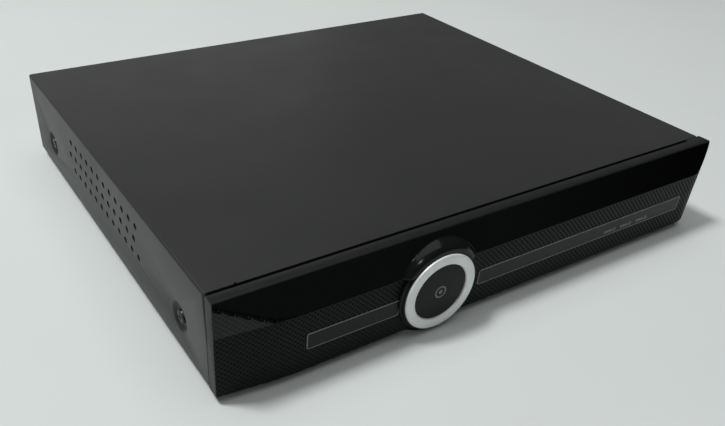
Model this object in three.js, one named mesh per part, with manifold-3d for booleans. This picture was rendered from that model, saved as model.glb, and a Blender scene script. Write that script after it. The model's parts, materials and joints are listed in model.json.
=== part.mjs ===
// A compact digital video recorder: a steel tray and wrap-round cover, a moulded front bezel,
// a rear wall of connectors, a hard disk and a fan. Millimetres, +X to the right of the front,
// +Y to the back, +Z up. y = 0 is the cover's front edge until the whole group is centred.
import * as THREE from "three";
import { mergeVertices } from "three/addons/utils/BufferGeometryUtils.js";
import Module from "manifold-3d";

const wasm = await Module();
wasm.setup();

// Driving dimensions
const BODY_W = 260;
const COVER_D = 211.7; // rear face of the cover
const COVER_FRONT = 0.7; // front edge of its sides, level with the tray
const COVER_SHY = 1; // the front edge leans this far back on the way up to the top
const COVER_LEAN_Z = 22; // height at which the lean starts
const TOP = 45; // top of the bezel above the floor
const COVER_TOP = 44.8;
const COVER_BOTTOM = 4.4; // also the underside of the tray
const SHEET = 1; // steel thickness
const GAP = 0.3; // clearance between neighbouring pieces
const HALF_W = BODY_W / 2;
const ARC_STEPS = 4; // straight pieces in each curved part of an outline

// Bezel
const BEZEL_BOTTOM = 3.4;
const BEZEL_WALL = 2.2;
const FACE_Y = -8; // lower wall of the bezel
const SHOULDER_Y = -4.8; // front edge of the flat strip along the top
const CORNER_Y = -5.2; // the wall's plan at its left and right ends
const BEZEL_BACK = COVER_FRONT - GAP;
const FACET_BOTTOM = 30.1; // where the sloping facet meets the lower wall
const LEFT_SWEEP = 33; // length of the wall that sweeps back at the left end
const RIGHT_SWEEP = 8.3;
const GROOVE = 1.6; // shadow gap behind the top strip
const GROOVE_END = HALF_W - 10;
const GLOSS_T = 1.2;
const LIP = 0.5; // height of the matt lip above the gloss panel

// Emblem
const EMBLEM = { x: -35.7, z: 19.5, sides: 36 };
const RING_R = 17.15;
const RING_HOLE_R = 12.85;
const RING_FRONT = -11.45;
const BOSS_R = 17.7;
const BOSS_FRONT = -10.45;

// Inlaid strips: left and right ends
const INLAY_LEFT = [-95.1, -53.5];
const INLAY_RIGHT = [-13.2, 116.6];
const INLAY_Z = [13.2, 20.4];
const INLAY_FRONT = -8.25;
const INLAY_BACK = -7.5;
const LIGHT_X = [70.5, 81.5, 92.5]; // power, disk and network lights
const LIGHT_Z = 15.3;
const LIGHT_R = 1.2;

// Side vents and side screws
const VENT_R = 1.55;
const VENT_PITCH = 7.4;
const VENT_COLUMNS = 12;
const VENT_ROWS = [
  { z: 35.25, rear: 145.7 },
  { z: 27.8, rear: 149.3 },
  { z: 20.5, rear: 145.7 },
];
const SCREW_Y = [24.1, 182.2];
const SCREW_Z = 19;
const DIMPLE_R = 6;
const DIMPLE_DEPTH = 1.6;
const SCREW_HEAD_R = 2.8;
const SCREW_R = 1.5;
const REAR_SCREW = { x: 122, z: 40.2 };

// Tray
const TRAY_X = HALF_W - SHEET - DIMPLE_DEPTH - GAP; // outer face of its side flanges
const WALL_X = HALF_W - SHEET - 0.4; // half width of its front and rear walls
const FRONT_WALL = [1.5, 2.5];
const REAR_WALL = [209.4, 210.4];
const FLOOR = COVER_BOTTOM + SHEET;
const FLANGE_TOP = 14;
const TAB_TOP = 26;
const FOOT = { x: 98, y: [26, 186], r: 8.5 };

// Main board and the connectors along its rear edge
const BOARD = { x: [-84, 104], y: [114, 207.5], z: [9.4, 11] };
const PORT_FACE = 211.2;
const BNC = { x: [76, 60, 44, 28], z: 19.3, tip: 224.3 };
const RCA = { x: 10, z: [17.2, 31.2], tip: 219.6 };
const VGA = { x: -13, z: 17.4 };
const HDMI = { x: -38, z: 14.2 };
const USB = { x: -54, z: [11.3, 26.9], w: 13.2 };
const RJ45 = { x: -72, z: [11.3, 24.8], w: 16 };
const DC = { x: 94, z: [11.3, 22.3], w: 9.4 };
const ROCKER = { x: 114, z: 24, y: 206.5, tilt: THREE.MathUtils.degToRad(8) };
const GROUND = { x: 94, z: 33 };

// Fan
const FAN = { x: -103, z: 25, side: 30, y: [199.1, 209.1], duct: 14.2, hub: 6.6, blades: 7 };

// Hard disk
const DISK = { x: [-110, 37], y: [8, 109.6], z: [7, 33.3] };
const SPINDLE = { x: -58, y: 58.8, platter: 47.5 };
const PIVOT = { x: 6, y: 74, arm: 47, parked: THREE.MathUtils.degToRad(244) };

// Colours
const finish = (color, roughness, metalness) =>
  new THREE.MeshStandardMaterial({ color, roughness, metalness });
const MATT_PAINT = finish(0x2b2d2c, 0.55, 0.1);
const STEEL = finish(0x9a9c9c, 0.35, 0.9);
const BEZEL = finish(0x1c1e1f, 0.5, 0);
const GLOSS = finish(0x050606, 0.08, 0);
const SILVER = finish(0xa9adaf, 0.3, 0.9);
const DISC = finish(0x1b1f20, 0.35, 0);
const INLAY = finish(0x222527, 0.3, 0);
const CLEAR = finish(0xd8dcdc, 0.1, 0);
const RUBBER = finish(0x151515, 0.9, 0);
const NICKEL = finish(0xb9b6ad, 0.3, 0.95);
const SCREW = finish(0x1d1e1f, 0.4, 0.7);
const CIRCUIT = finish(0x0f4a2c, 0.5, 0);
const PLASTIC = finish(0x161718, 0.5, 0);
const ALUMINIUM = finish(0xb4b7b8, 0.4, 0.9);
const WHITE = finish(0xd6d5cf, 0.4, 0);
const RED = finish(0xa01e1c, 0.4, 0);
const RIBBON = finish(0x8d8f92, 0.5, 0);

// A closed three.js geometry as a manifold-3d solid
function solidOf(geometry) {
  const bare = geometry.clone();
  bare.deleteAttribute("normal");
  bare.deleteAttribute("uv");
  const merged = mergeVertices(bare, 1e-4);
  return new wasm.Manifold(
    new wasm.Mesh({
      numProp: 3,
      vertProperties: merged.attributes.position.array,
      triVerts: new Uint32Array(merged.index.array),
    }),
  );
}

function geometryOf(solid) {
  const mesh = solid.getMesh();
  const geometry = new THREE.BufferGeometry();
  geometry.setAttribute("position", new THREE.BufferAttribute(mesh.vertProperties, 3));
  geometry.setIndex(new THREE.BufferAttribute(mesh.triVerts, 1));
  geometry.computeVertexNormals();
  return geometry;
}

const join = (...pieces) =>
  geometryOf(pieces.map(solidOf).reduce((all, piece) => all.add(piece)));
const cut = (base, ...tools) =>
  geometryOf(tools.map(solidOf).reduce((rest, tool) => rest.subtract(tool), solidOf(base)));
const common = (a, b) => geometryOf(solidOf(a).intersect(solidOf(b)));

// A box between two corners
function block([x0, x1], [y0, y1], [z0, z1]) {
  const box = new THREE.BoxGeometry(x1 - x0, y1 - y0, z1 - z0);
  return box.translate((x0 + x1) / 2, (y0 + y1) / 2, (z0 + z1) / 2);
}

// A cylinder between two values of the coordinate named by axis, about the given centre
function rod(axis, r, [from, to], centre, sides = 16) {
  const cylinder = new THREE.CylinderGeometry(r, r, to - from, sides);
  if (axis === "x") cylinder.rotateZ(-Math.PI / 2);
  if (axis === "z") cylinder.rotateX(Math.PI / 2);
  const at = new THREE.Vector3(...centre);
  at[axis] = (from + to) / 2;
  return cylinder.translate(at.x, at.y, at.z);
}

// A turned solid about an axis along Y or Z; the profile is [radius, height] pairs
function turned(axis, profile, centre, sides = 20) {
  const points = profile.map(([r, h]) => new THREE.Vector2(r, h));
  if (THREE.ShapeUtils.area(points) < 0) points.reverse();
  points.push(points[0].clone());
  const lathe = new THREE.LatheGeometry(points, sides);
  if (axis === "z") lathe.rotateX(Math.PI / 2);
  return lathe.translate(...centre);
}

const extrude = (shape, depth) =>
  new THREE.ExtrudeGeometry(shape, { depth, bevelEnabled: false, curveSegments: ARC_STEPS });

// A plan outline raised from one height to another
const raised = (shape, [z0, z1]) => extrude(shape, z1 - z0).translate(0, 0, z0);

// A side profile of [y, z] points run from one x to another
function run(profile, [x0, x1]) {
  const shape = new THREE.Shape(profile.map(([y, z]) => new THREE.Vector2(y, z)));
  const along = new THREE.Matrix4().makeBasis(
    new THREE.Vector3(0, 1, 0),
    new THREE.Vector3(0, 0, 1),
    new THREE.Vector3(1, 0, 0),
  );
  return extrude(shape, x1 - x0).applyMatrix4(along).translate(x0, 0, 0);
}

// A front outline in x and z pushed from one y to another
function pushed(shape, [y0, y1]) {
  return extrude(shape, y1 - y0).rotateX(Math.PI / 2).translate(0, y1, 0);
}

function rectangle([x0, x1], [z0, z1], r) {
  const shape = new THREE.Shape();
  shape.moveTo(x0 + r, z0);
  shape.lineTo(x1 - r, z0).absarc(x1 - r, z0 + r, r, -Math.PI / 2, 0);
  shape.lineTo(x1, z1 - r).absarc(x1 - r, z1 - r, r, 0, Math.PI / 2);
  shape.lineTo(x0 + r, z1).absarc(x0 + r, z1 - r, r, Math.PI / 2, Math.PI);
  shape.lineTo(x0, z0 + r).absarc(x0 + r, z0 + r, r, Math.PI, 1.5 * Math.PI);
  return shape;
}

const centred = (middle, width) => [middle - width / 2, middle + width / 2];
const grown = ([from, to], by) => [from - by, to + by];

const recorder = new THREE.Group();
function add(name, geometry, material) {
  const mesh = new THREE.Mesh(geometry, material);
  mesh.name = name;
  recorder.add(mesh);
}

// Cover: top, two sides and a lip that drops over the rear wall
function screwDimple(side, y) {
  const outer = side * HALF_W;
  const cup = (r, depth, from) => {
    const cone = new THREE.CylinderGeometry(r, r - 1.8, depth, 16);
    cone.rotateZ(side > 0 ? -Math.PI / 2 : Math.PI / 2);
    return cone.translate(outer - side * (from + depth / 2), y, SCREW_Z);
  };
  return {
    metal: cup(DIMPLE_R + 0.8, DIMPLE_DEPTH + SHEET - 0.1, 0.1),
    hollow: cup(DIMPLE_R, DIMPLE_DEPTH + 0.02, -0.02),
    hole: rod("x", SCREW_R + GAP, [outer - 5, outer + 5], [0, y, SCREW_Z], 8),
  };
}

function topCover() {
  const height = [COVER_BOTTOM, COVER_TOP];
  const shell = block([-HALF_W, HALF_W], [COVER_FRONT, COVER_D], height);
  const lean = run(
    [
      [COVER_FRONT - 1, COVER_LEAN_Z],
      [COVER_FRONT, COVER_LEAN_Z],
      [COVER_FRONT + COVER_SHY, COVER_TOP],
      [COVER_FRONT + COVER_SHY, COVER_TOP + 1],
      [COVER_FRONT - 1, COVER_TOP + 1],
    ],
    [-HALF_W - 1, HALF_W + 1],
  );
  const inside = block(
    grown([-HALF_W, HALF_W], -SHEET),
    [-SHEET, COVER_D - SHEET],
    [COVER_BOTTOM - SHEET, COVER_TOP - SHEET],
  );
  const lipBottom = 36;
  const below = block(
    grown([-HALF_W, HALF_W], -SHEET),
    [COVER_D - 2 * SHEET, COVER_D + SHEET],
    [COVER_BOTTOM - SHEET, lipBottom],
  );
  const dimples = [-1, 1].flatMap((side) => SCREW_Y.map((y) => screwDimple(side, y)));
  const vents = VENT_ROWS.flatMap(({ z, rear }) =>
    Array.from({ length: VENT_COLUMNS }, (_, i) =>
      rod("x", VENT_R, [-HALF_W - 1, HALF_W + 1], [0, rear - i * VENT_PITCH, z], 6),
    ),
  );
  const rearHoles = [-1, 1].map((side) =>
    rod("y", SCREW_R + GAP, [COVER_D - 3, COVER_D + 3], [side * REAR_SCREW.x, 0, REAR_SCREW.z], 8),
  );
  const body = join(cut(shell, inside, below, lean), ...dimples.map((d) => d.metal));
  return cut(body, ...dimples.map((d) => d.hollow), ...dimples.map((d) => d.hole), ...vents, ...rearHoles);
}

// Tray: floor, side flanges with screw tabs, front wall and rear wall
function tray() {
  const full = [-TRAY_X, TRAY_X];
  const depth = [FRONT_WALL[0], REAR_WALL[1]];
  const pieces = [
    block(full, depth, [COVER_BOTTOM, FLOOR]),
    block([-WALL_X, WALL_X], FRONT_WALL, [COVER_BOTTOM, 42.5]),
    block([-WALL_X, WALL_X], REAR_WALL, [COVER_BOTTOM, 43.5]),
  ];
  for (const side of [-1, 1]) {
    const flange = side < 0 ? [-TRAY_X, SHEET - TRAY_X] : [TRAY_X - SHEET, TRAY_X];
    pieces.push(block(flange, depth, [COVER_BOTTOM, FLANGE_TOP]));
    for (const y of SCREW_Y) pieces.push(block(flange, grown([y, y], 9), [FLOOR, TAB_TOP]));
  }
  for (const [x, y] of boardHoles()) {
    pieces.push(rod("z", 3, [FLOOR - 0.2, BOARD.z[0] - GAP], [x, y, 0], 8));
  }
  for (const [x, y] of diskHoles()) {
    pieces.push(rod("z", 6, [FLOOR - 0.2, DISK.z[0] - GAP], [x, y, 0], 12));
  }
  return cut(join(...pieces), ...trayHoles());
}

function trayHoles() {
  const through = [COVER_BOTTOM - 1, 12];
  const holes = [];
  for (const y of SCREW_Y) {
    holes.push(rod("x", SCREW_R + GAP, [-HALF_W, HALF_W], [0, y, SCREW_Z], 8));
  }
  for (const x of [-FOOT.x, FOOT.x]) {
    for (const y of FOOT.y) holes.push(rod("z", 2.4, through, [x, y, 0], 8));
  }
  for (const [x, y] of boardHoles()) holes.push(rod("z", 1.5, [FLOOR + 0.5, 12], [x, y, 0], 8));
  for (const [x, y] of diskHoles()) holes.push(rod("z", 2.1, through, [x, y, 0], 8));
  for (const column of [0, 1]) {
    for (let i = 0; i < 6; i++) {
      const y = centred(40 + i * 8, 3);
      holes.push(block(centred(58 + column * 34, 26), y, through));
    }
  }
  // Front wall: windows behind the bezel and slots for its hooks
  holes.push(block([-100, 30], [0, 5], [12, 38]), block([42, 118], [0, 5], [9, 36]));
  for (const x of hookX()) {
    holes.push(block(centred(x, 9), [0, 5], [38.6, 41.4]));
    holes.push(block(centred(x, 9), [0, 5], [6.6, 9.4]));
  }
  return holes.concat(rearWallHoles());
}

function rearWallHoles() {
  const wall = grown(REAR_WALL, 1);
  const window = (x, w, z) => block(grown(centred(x, w), GAP), wall, grown(z, GAP));
  const round = (x, z, r, sides = 8) => rod("y", r, wall, [x, 0, z], sides);
  const holes = [
    window(USB.x, USB.w, USB.z),
    window(RJ45.x, RJ45.w, RJ45.z),
    window(DC.x, DC.w, DC.z),
    window(HDMI.x, 15, centred(HDMI.z, 5.8)),
    window(VGA.x, 17, centred(VGA.z, 9)),
    window(ROCKER.x, 13, centred(ROCKER.z, 19.2)),
    round(VGA.x - 12.5, VGA.z, 3.1),
    round(VGA.x + 12.5, VGA.z, 3.1),
    round(GROUND.x, GROUND.z, SCREW_R + GAP),
  ];
  for (const x of BNC.x) holes.push(round(x, BNC.z, 6.7, 12));
  for (const z of RCA.z) holes.push(round(RCA.x, z, 4.7, 12));
  for (const side of [-1, 1]) holes.push(round(side * REAR_SCREW.x, REAR_SCREW.z, SCREW_R + GAP));
  // Fan grille: a hexagon of round holes
  const pitch = 5.6;
  for (let row = -2; row <= 2; row++) {
    const count = 5 - Math.abs(row);
    for (let i = 0; i < count; i++) {
      const x = FAN.x + (i - (count - 1) / 2) * pitch;
      holes.push(round(x, FAN.z + row * pitch * Math.sin(Math.PI / 3), 2.2));
    }
  }
  // Air slots above the connectors
  for (let i = 0; i < 9; i++) {
    holes.push(block(centred(-62 + i * 6, 2.4), wall, [31, 38.5]));
  }
  return holes;
}

// Bezel
function bezelPlan(inset) {
  const half = HALF_W - inset;
  const front = FACE_Y + inset;
  const corner = CORNER_Y + inset;
  const sweep = -HALF_W + LEFT_SWEEP;
  const bend = sweep - 0.4 * LEFT_SWEEP; // the sweep is straight up to here
  const bendY = corner + 0.78 * (front - corner);
  const shape = new THREE.Shape();
  shape.moveTo(-half, 1);
  shape.lineTo(-half, corner).lineTo(bend, bendY);
  shape.quadraticCurveTo(bend + 6.5, front - 0.02, sweep, front);
  shape.lineTo(HALF_W - RIGHT_SWEEP, front);
  shape.quadraticCurveTo(half - 2.6, front, half, corner);
  shape.lineTo(half, 1);
  return shape;
}

const FACET_SLOPE = (SHOULDER_Y - FACE_Y) / (TOP - FACET_BOTTOM);
const facetY = (z) => SHOULDER_Y - (TOP - z) * FACET_SLOPE;

function bezelBlank() {
  const side = [
    [BEZEL_BACK, BEZEL_BOTTOM],
    [FACE_Y + 0.6, BEZEL_BOTTOM],
    [FACE_Y, BEZEL_BOTTOM + 0.6],
    [FACE_Y, FACET_BOTTOM],
    [SHOULDER_Y, TOP],
    [COVER_FRONT + COVER_SHY - GROOVE, TOP],
    [BEZEL_BACK, COVER_LEAN_Z],
  ];
  return common(
    raised(bezelPlan(0), [BEZEL_BOTTOM - 1, TOP + 1]),
    run(side, [-HALF_W - 1, HALF_W + 1]),
  );
}

// The gloss panel's outline seen from the front: it ends where the facet runs into the lower wall
function glossOutline(inset) {
  const edge = bezelPlan(0)
    .getPoints(ARC_STEPS)
    .filter((p) => p.y < SHOULDER_Y + 0.01)
    .map((p) => {
      const z = Math.max(FACET_BOTTOM, TOP - (SHOULDER_Y - p.y) / FACET_SLOPE);
      return new THREE.Vector2(p.x + (p.x < 0 ? inset : -inset), z + inset);
    });
  const beyond = TOP + 2;
  edge.push(new THREE.Vector2(HALF_W - inset, beyond), new THREE.Vector2(inset - HALF_W, beyond));
  return new THREE.Shape(edge);
}

function facetSlab(thickness) {
  const high = TOP + 2;
  const low = FACET_BOTTOM - 2;
  const side = [
    [facetY(low) - 0.5, low],
    [facetY(high) - 0.5, high],
    [facetY(high) + thickness, high],
    [facetY(low) + thickness, low],
  ];
  return run(side.reverse(), [-HALF_W - 1, HALF_W + 1]);
}

function glossRecess(inset, thickness) {
  const belowLip = block([-HALF_W - 1, HALF_W + 1], [FACE_Y - 3, 1], [0, TOP - LIP - inset]);
  return common(common(pushed(glossOutline(inset), [FACE_Y - 2, 0]), facetSlab(thickness)), belowLip);
}

// The hood that carries the gloss surface forward round the top of the emblem
function glossHood(clearance) {
  const inner = BOSS_R + GAP - clearance;
  const flare = [
    [inner, BOSS_FRONT - clearance],
    [BOSS_R + GAP + 0.6 + clearance, BOSS_FRONT - clearance],
    [BOSS_R + 1.3 + clearance, BOSS_FRONT + 0.8],
    [BOSS_R + 2.3 + clearance, BOSS_FRONT + 2.1],
    [BOSS_R + 3.5 + clearance, BOSS_FRONT + 3.3],
    [BOSS_R + 4.8 + clearance, BOSS_FRONT + 4.2],
    [BOSS_R + 4.8 + clearance, BOSS_FRONT + 6],
    [inner, BOSS_FRONT + 6],
  ];
  const lathe = turned("y", flare, [EMBLEM.x, 0, EMBLEM.z], EMBLEM.sides);
  const aboveWall = block(
    centred(EMBLEM.x, 60),
    [BOSS_FRONT - 2, facetY(FACET_BOTTOM) + 3.2],
    [FACET_BOTTOM - clearance, TOP - LIP],
  );
  return common(lathe, aboveWall);
}

function glossFascia() {
  const behind = run(
    [
      [facetY(TOP) + GLOSS_T, TOP],
      [facetY(FACET_BOTTOM - 2) + GLOSS_T, FACET_BOTTOM - 2],
      [2, FACET_BOTTOM - 2],
      [2, TOP],
    ],
    centred(EMBLEM.x, 70),
  );
  const hood = cut(glossHood(0), behind);
  const bossHole = rod("y", BOSS_R + GAP, [-15, 2], [EMBLEM.x, 0, EMBLEM.z], EMBLEM.sides);
  const panel = common(glossRecess(GAP / 2, GLOSS_T), bezelBlank());
  return cut(join(panel, hood), bossHole);
}

const hookX = () => [-108, -45, 36, 108];

function frontBezel() {
  const cavity = common(
    raised(bezelPlan(BEZEL_WALL), [BEZEL_BOTTOM + BEZEL_WALL, TOP - BEZEL_WALL]),
    run(
      [
        [2, 0],
        [FACE_Y + BEZEL_WALL, 0],
        [FACE_Y + BEZEL_WALL, FACET_BOTTOM - 1],
        [facetY(TOP - BEZEL_WALL) + GLOSS_T + BEZEL_WALL - 1, TOP - BEZEL_WALL],
        [2, TOP - BEZEL_WALL],
      ],
      [-HALF_W, HALF_W],
    ),
  );
  const boss = turned(
    "y",
    [
      [0, BOSS_FRONT],
      [BOSS_R - 0.3, BOSS_FRONT],
      [BOSS_R, BOSS_FRONT + 0.3],
      [BOSS_R, FACE_Y + 4],
      [0, FACE_Y + 4],
    ],
    [EMBLEM.x, 0, EMBLEM.z],
    EMBLEM.sides,
  );
  const middle = [EMBLEM.x, 0, EMBLEM.z];
  const bossPocket = rod("y", 16.6, [BOSS_FRONT - 2, BOSS_FRONT + 1.2], middle, EMBLEM.sides);
  const bossBack = rod("y", 15, [FACE_Y + BEZEL_WALL, 2], middle, 16);
  const cornerBack = COVER_FRONT + COVER_SHY - GAP;
  const corner = block([GROOVE_END, HALF_W], [SHOULDER_Y + 2, cornerBack], [TOP - BEZEL_WALL, TOP]);
  const hooks = hookX().flatMap((x) => [
    block(centred(x, 8), [-3.9, 4.2], [39, 41]),
    block(centred(x, 8), [FACE_Y + 1.5, 4.2], [7, 9]),
  ]);
  const joinRibs = hookX().flatMap((x) => [
    block(centred(x, 8), [-3.2, -1.5], [40, TOP - 1]),
    block(centred(x, 8), [-4, -1.5], [BEZEL_BOTTOM + 1, 8]),
  ]);
  const pocket = ([x0, x1]) =>
    pushed(rectangle(grown([x0, x1], GAP), grown(INLAY_Z, GAP), 1), [FACE_Y - 3, INLAY_BACK + GAP]);
  const pipes = LIGHT_X.map((x) => rod("y", LIGHT_R + GAP, [FACE_Y - 1, -1], [x, 0, LIGHT_Z], 8));
  const body = cut(bezelBlank(), cavity, glossRecess(-GAP / 2, GLOSS_T + GAP));
  const withBoss = cut(join(body, corner, boss, ...hooks, ...joinRibs), bossPocket, bossBack);
  return cut(withBoss, hoodRelief(), pocket(INLAY_LEFT), pocket(INLAY_RIGHT), ...pipes);
}

// Room in the bezel for the hood, round the outside of the boss
function hoodRelief() {
  const boss = rod("y", BOSS_R, [-15, 2], [EMBLEM.x, 0, EMBLEM.z], EMBLEM.sides);
  return cut(glossHood(GAP), boss);
}

function emblemRing() {
  const profile = [
    [RING_HOLE_R, RING_FRONT + 0.5],
    [RING_HOLE_R + 0.5, RING_FRONT],
    [RING_R - 0.7, RING_FRONT],
    [RING_R, RING_FRONT + 0.5],
    [RING_R, RING_FRONT + 0.7],
    [16.3, RING_FRONT + 0.7],
    [16.3, BOSS_FRONT + 0.9],
    [RING_HOLE_R, BOSS_FRONT + 0.9],
  ];
  return turned("y", profile, [EMBLEM.x, 0, EMBLEM.z], EMBLEM.sides);
}

const emblemDisc = () =>
  rod("y", RING_HOLE_R - GAP, [RING_FRONT + 0.45, BOSS_FRONT + 0.9], [EMBLEM.x, 0, EMBLEM.z], EMBLEM.sides);

const inlay = (ends) => pushed(rectangle(ends, INLAY_Z, 0.8), [INLAY_FRONT, INLAY_BACK]);

const lightPipe = (x) => rod("y", LIGHT_R, [INLAY_BACK + GAP, -2.2], [x, 0, LIGHT_Z], 8);

// Rubber foot with a stem that pushes through the tray
function foot(x, y) {
  const top = COVER_BOTTOM - GAP;
  const profile = [
    [2.2, 1.4],
    [2.2, 0],
    [FOOT.r - 1, 0],
    [FOOT.r, 1],
    [FOOT.r - 0.6, top],
    [2, top],
    [2, FLOOR + 1.2],
    [0, FLOOR + 1.2],
    [0, 1.4],
  ];
  return turned("z", profile, [x, y, 0], 16);
}

// A pan-head screw on an axis; direction is where the head points
function screw(axis, direction, headBase, centre, { head = SCREW_HEAD_R, r = SCREW_R, length = 5 } = {}) {
  const rise = 1.5;
  const ends = (a, b) => (direction > 0 ? [headBase + a, headBase + b] : [headBase - b, headBase - a]);
  const cap = rod(axis, head, ends(0, rise), centre, 12);
  const shank = rod(axis, r, ends(-length, 0.1), centre, 6);
  const sizes = { x: [0.7, 3.4, 3.4], y: [3.4, 0.7, 3.4], z: [3.4, 3.4, 0.7] }[axis];
  const slots = [0, 1].map((turn) => {
    const size = [...sizes];
    const across = { x: [1, 2], y: [0, 2], z: [0, 1] }[axis];
    size[across[turn]] = 0.7;
    const at = new THREE.Vector3(...centre);
    at[axis] = headBase + direction * (rise - 0.2);
    return new THREE.BoxGeometry(...size).translate(at.x, at.y, at.z);
  });
  return cut(join(cap, shank), ...slots);
}

// Connectors
function bncJack(x) {
  const centre = [x, 0, BNC.z];
  const tip = BNC.tip;
  const barrel = [
    [0, 205],
    [6.2, 205],
    [6.2, 213.2],
    [4.8, 213.2],
    [4.8, tip],
    [4.1, tip],
    [4.1, tip - 5],
    [1.9, tip - 5],
    [1.9, tip - 1.5],
    [0, tip - 1.5],
  ];
  const nut = rod("y", 7.6, [REAR_WALL[1] + GAP, REAR_WALL[1] + 2.2], centre, 6);
  const housing = block(centred(x, 14), [193, 209.1], [BOARD.z[1] + GAP, 27]);
  const lugs = rod("z", 1, centred(BNC.z, 11.4), [x, tip - 6.2, 0], 6);
  return join(turned("y", barrel, centre, 12), nut, housing, lugs);
}

function rcaJack(z) {
  const tip = RCA.tip;
  const profile = [
    [0, 205],
    [4.2, 205],
    [4.2, tip],
    [3.5, tip],
    [3.5, tip - 7],
    [1.6, tip - 7],
    [1.6, 207],
    [0, 207],
  ];
  const housing = block(centred(RCA.x, 12), [196, 209.1], grown([z, z], 5.8));
  return join(turned("y", profile, [RCA.x, 0, z], 12), housing);
}

function vgaSocket() {
  const halfTop = 8.1;
  const halfBottom = 7.2;
  const shell = new THREE.Shape([
    new THREE.Vector2(VGA.x - halfBottom, VGA.z - 3.9),
    new THREE.Vector2(VGA.x + halfBottom, VGA.z - 3.9),
    new THREE.Vector2(VGA.x + halfTop, VGA.z + 3.9),
    new THREE.Vector2(VGA.x - halfTop, VGA.z + 3.9),
  ]);
  const flange = block(centred(VGA.x, 30.8), [207.9, 209.1], centred(VGA.z, 12.2));
  const housing = block(centred(VGA.x, 30), [196, 208.5], centred(VGA.z, 11.6));
  const jackscrews = [-12.5, 12.5].map((dx) =>
    rod("y", 2.6, [208.5, 214.6], [VGA.x + dx, 0, VGA.z], 6),
  );
  return join(pushed(shell, [208.5, 215.2]), flange, housing, ...jackscrews);
}

function hdmiSocket() {
  const shell = block(centred(HDMI.x, 14.8), [199, PORT_FACE], centred(HDMI.z, 5.6));
  const hollow = block(centred(HDMI.x, 14), [203, PORT_FACE + 1], centred(HDMI.z, 4.8));
  const tongue = block(centred(HDMI.x, 12), [202, PORT_FACE - 1], centred(HDMI.z + 0.3, 1));
  return join(cut(shell, hollow), tongue);
}

function usbStack() {
  const shell = block(centred(USB.x, USB.w), [193, PORT_FACE], USB.z);
  const levels = [USB.z[0] + 3.9, USB.z[1] - 3.9];
  const hollows = levels.map((z) =>
    block(centred(USB.x, 12), [200, PORT_FACE + 1], centred(z, 4.7)),
  );
  const tongues = levels.map((z) =>
    block(centred(USB.x, 11.1), [199, PORT_FACE - 1], centred(z + 1, 1.8)),
  );
  return join(cut(shell, ...hollows), ...tongues);
}

function rj45Socket() {
  const shell = block(centred(RJ45.x, RJ45.w), [190, PORT_FACE], RJ45.z);
  const floor = RJ45.z[0];
  const mouth = block(centred(RJ45.x, 11.8), [197, PORT_FACE + 1], [floor + 3.4, floor + 11.4]);
  const latch = block(centred(RJ45.x, 6.2), [199, PORT_FACE + 1], [floor + 1.2, floor + 4]);
  return cut(shell, mouth, latch);
}

function dcJack() {
  const z = (DC.z[0] + DC.z[1]) / 2;
  const shell = block(centred(DC.x, DC.w), [197, PORT_FACE], DC.z);
  const barrel = rod("y", 3.2, [201, PORT_FACE + 1], [DC.x, 0, z], 20);
  const pin = rod("y", 1, [200, PORT_FACE - 1], [DC.x, 0, z], 10);
  return join(cut(shell, barrel), pin);
}

// Power switch: a snap-in housing and a rocker that tips about a pin along X
function switchHousing() {
  const outer = REAR_WALL[1] + GAP;
  const flange = block(centred(ROCKER.x, 15.4), [outer, outer + 1.6], centred(ROCKER.z, 21.8));
  const can = block(centred(ROCKER.x, 13), [198, outer + 0.2], centred(ROCKER.z, 19));
  const well = block(centred(ROCKER.x, 10.8), [201, outer + 3], centred(ROCKER.z, 17.6));
  const bearings = rod("x", 1.5, centred(ROCKER.x, 12), [0, ROCKER.y, ROCKER.z], 12);
  return cut(join(flange, can), well, bearings);
}

function powerRocker() {
  const half = 7.5;
  const crest = 6.9;
  const valley = 5.4;
  const profile = [
    [crest, -half],
    [valley, 0],
    [crest, half],
    [1.5, half - 0.6],
    [-2.6, 3],
    [-2.6, -3],
    [1.5, -half + 0.6],
  ];
  const rocker = run(profile, [-5.1, 5.1]);
  const pin = rod("x", 1.2, [-5.8, 5.8], [0, 0, 0], 12);
  return join(rocker, pin).rotateX(ROCKER.tilt).translate(ROCKER.x, ROCKER.y, ROCKER.z);
}

// Fan: a square frame with a stator carried on four struts, and a bladed rotor
function fanFrame() {
  const frame = pushed(
    rectangle(centred(FAN.x, FAN.side), centred(FAN.z, FAN.side), 2.5),
    FAN.y,
  );
  const duct = rod("y", FAN.duct, grown(FAN.y, 1), [FAN.x, 0, FAN.z], 28);
  const screwHoles = [-12, 12].flatMap((dx) =>
    [-12, 12].map((dz) => rod("y", 1.7, grown(FAN.y, 1), [FAN.x + dx, 0, FAN.z + dz], 6)),
  );
  const stator = rod("y", FAN.hub, [FAN.y[0], FAN.y[0] + 1.6], [FAN.x, 0, FAN.z], 16);
  const pin = rod("y", 1.5, [FAN.y[0], FAN.y[0] + 6], [FAN.x, 0, FAN.z], 8);
  const strut = (w, h) =>
    block(centred(FAN.x, w), [FAN.y[0], FAN.y[0] + 1.4], centred(FAN.z, h));
  const length = 2 * FAN.duct + 0.4;
  return join(cut(frame, duct, ...screwHoles), stator, pin, strut(length, 2), strut(2, length));
}

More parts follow.
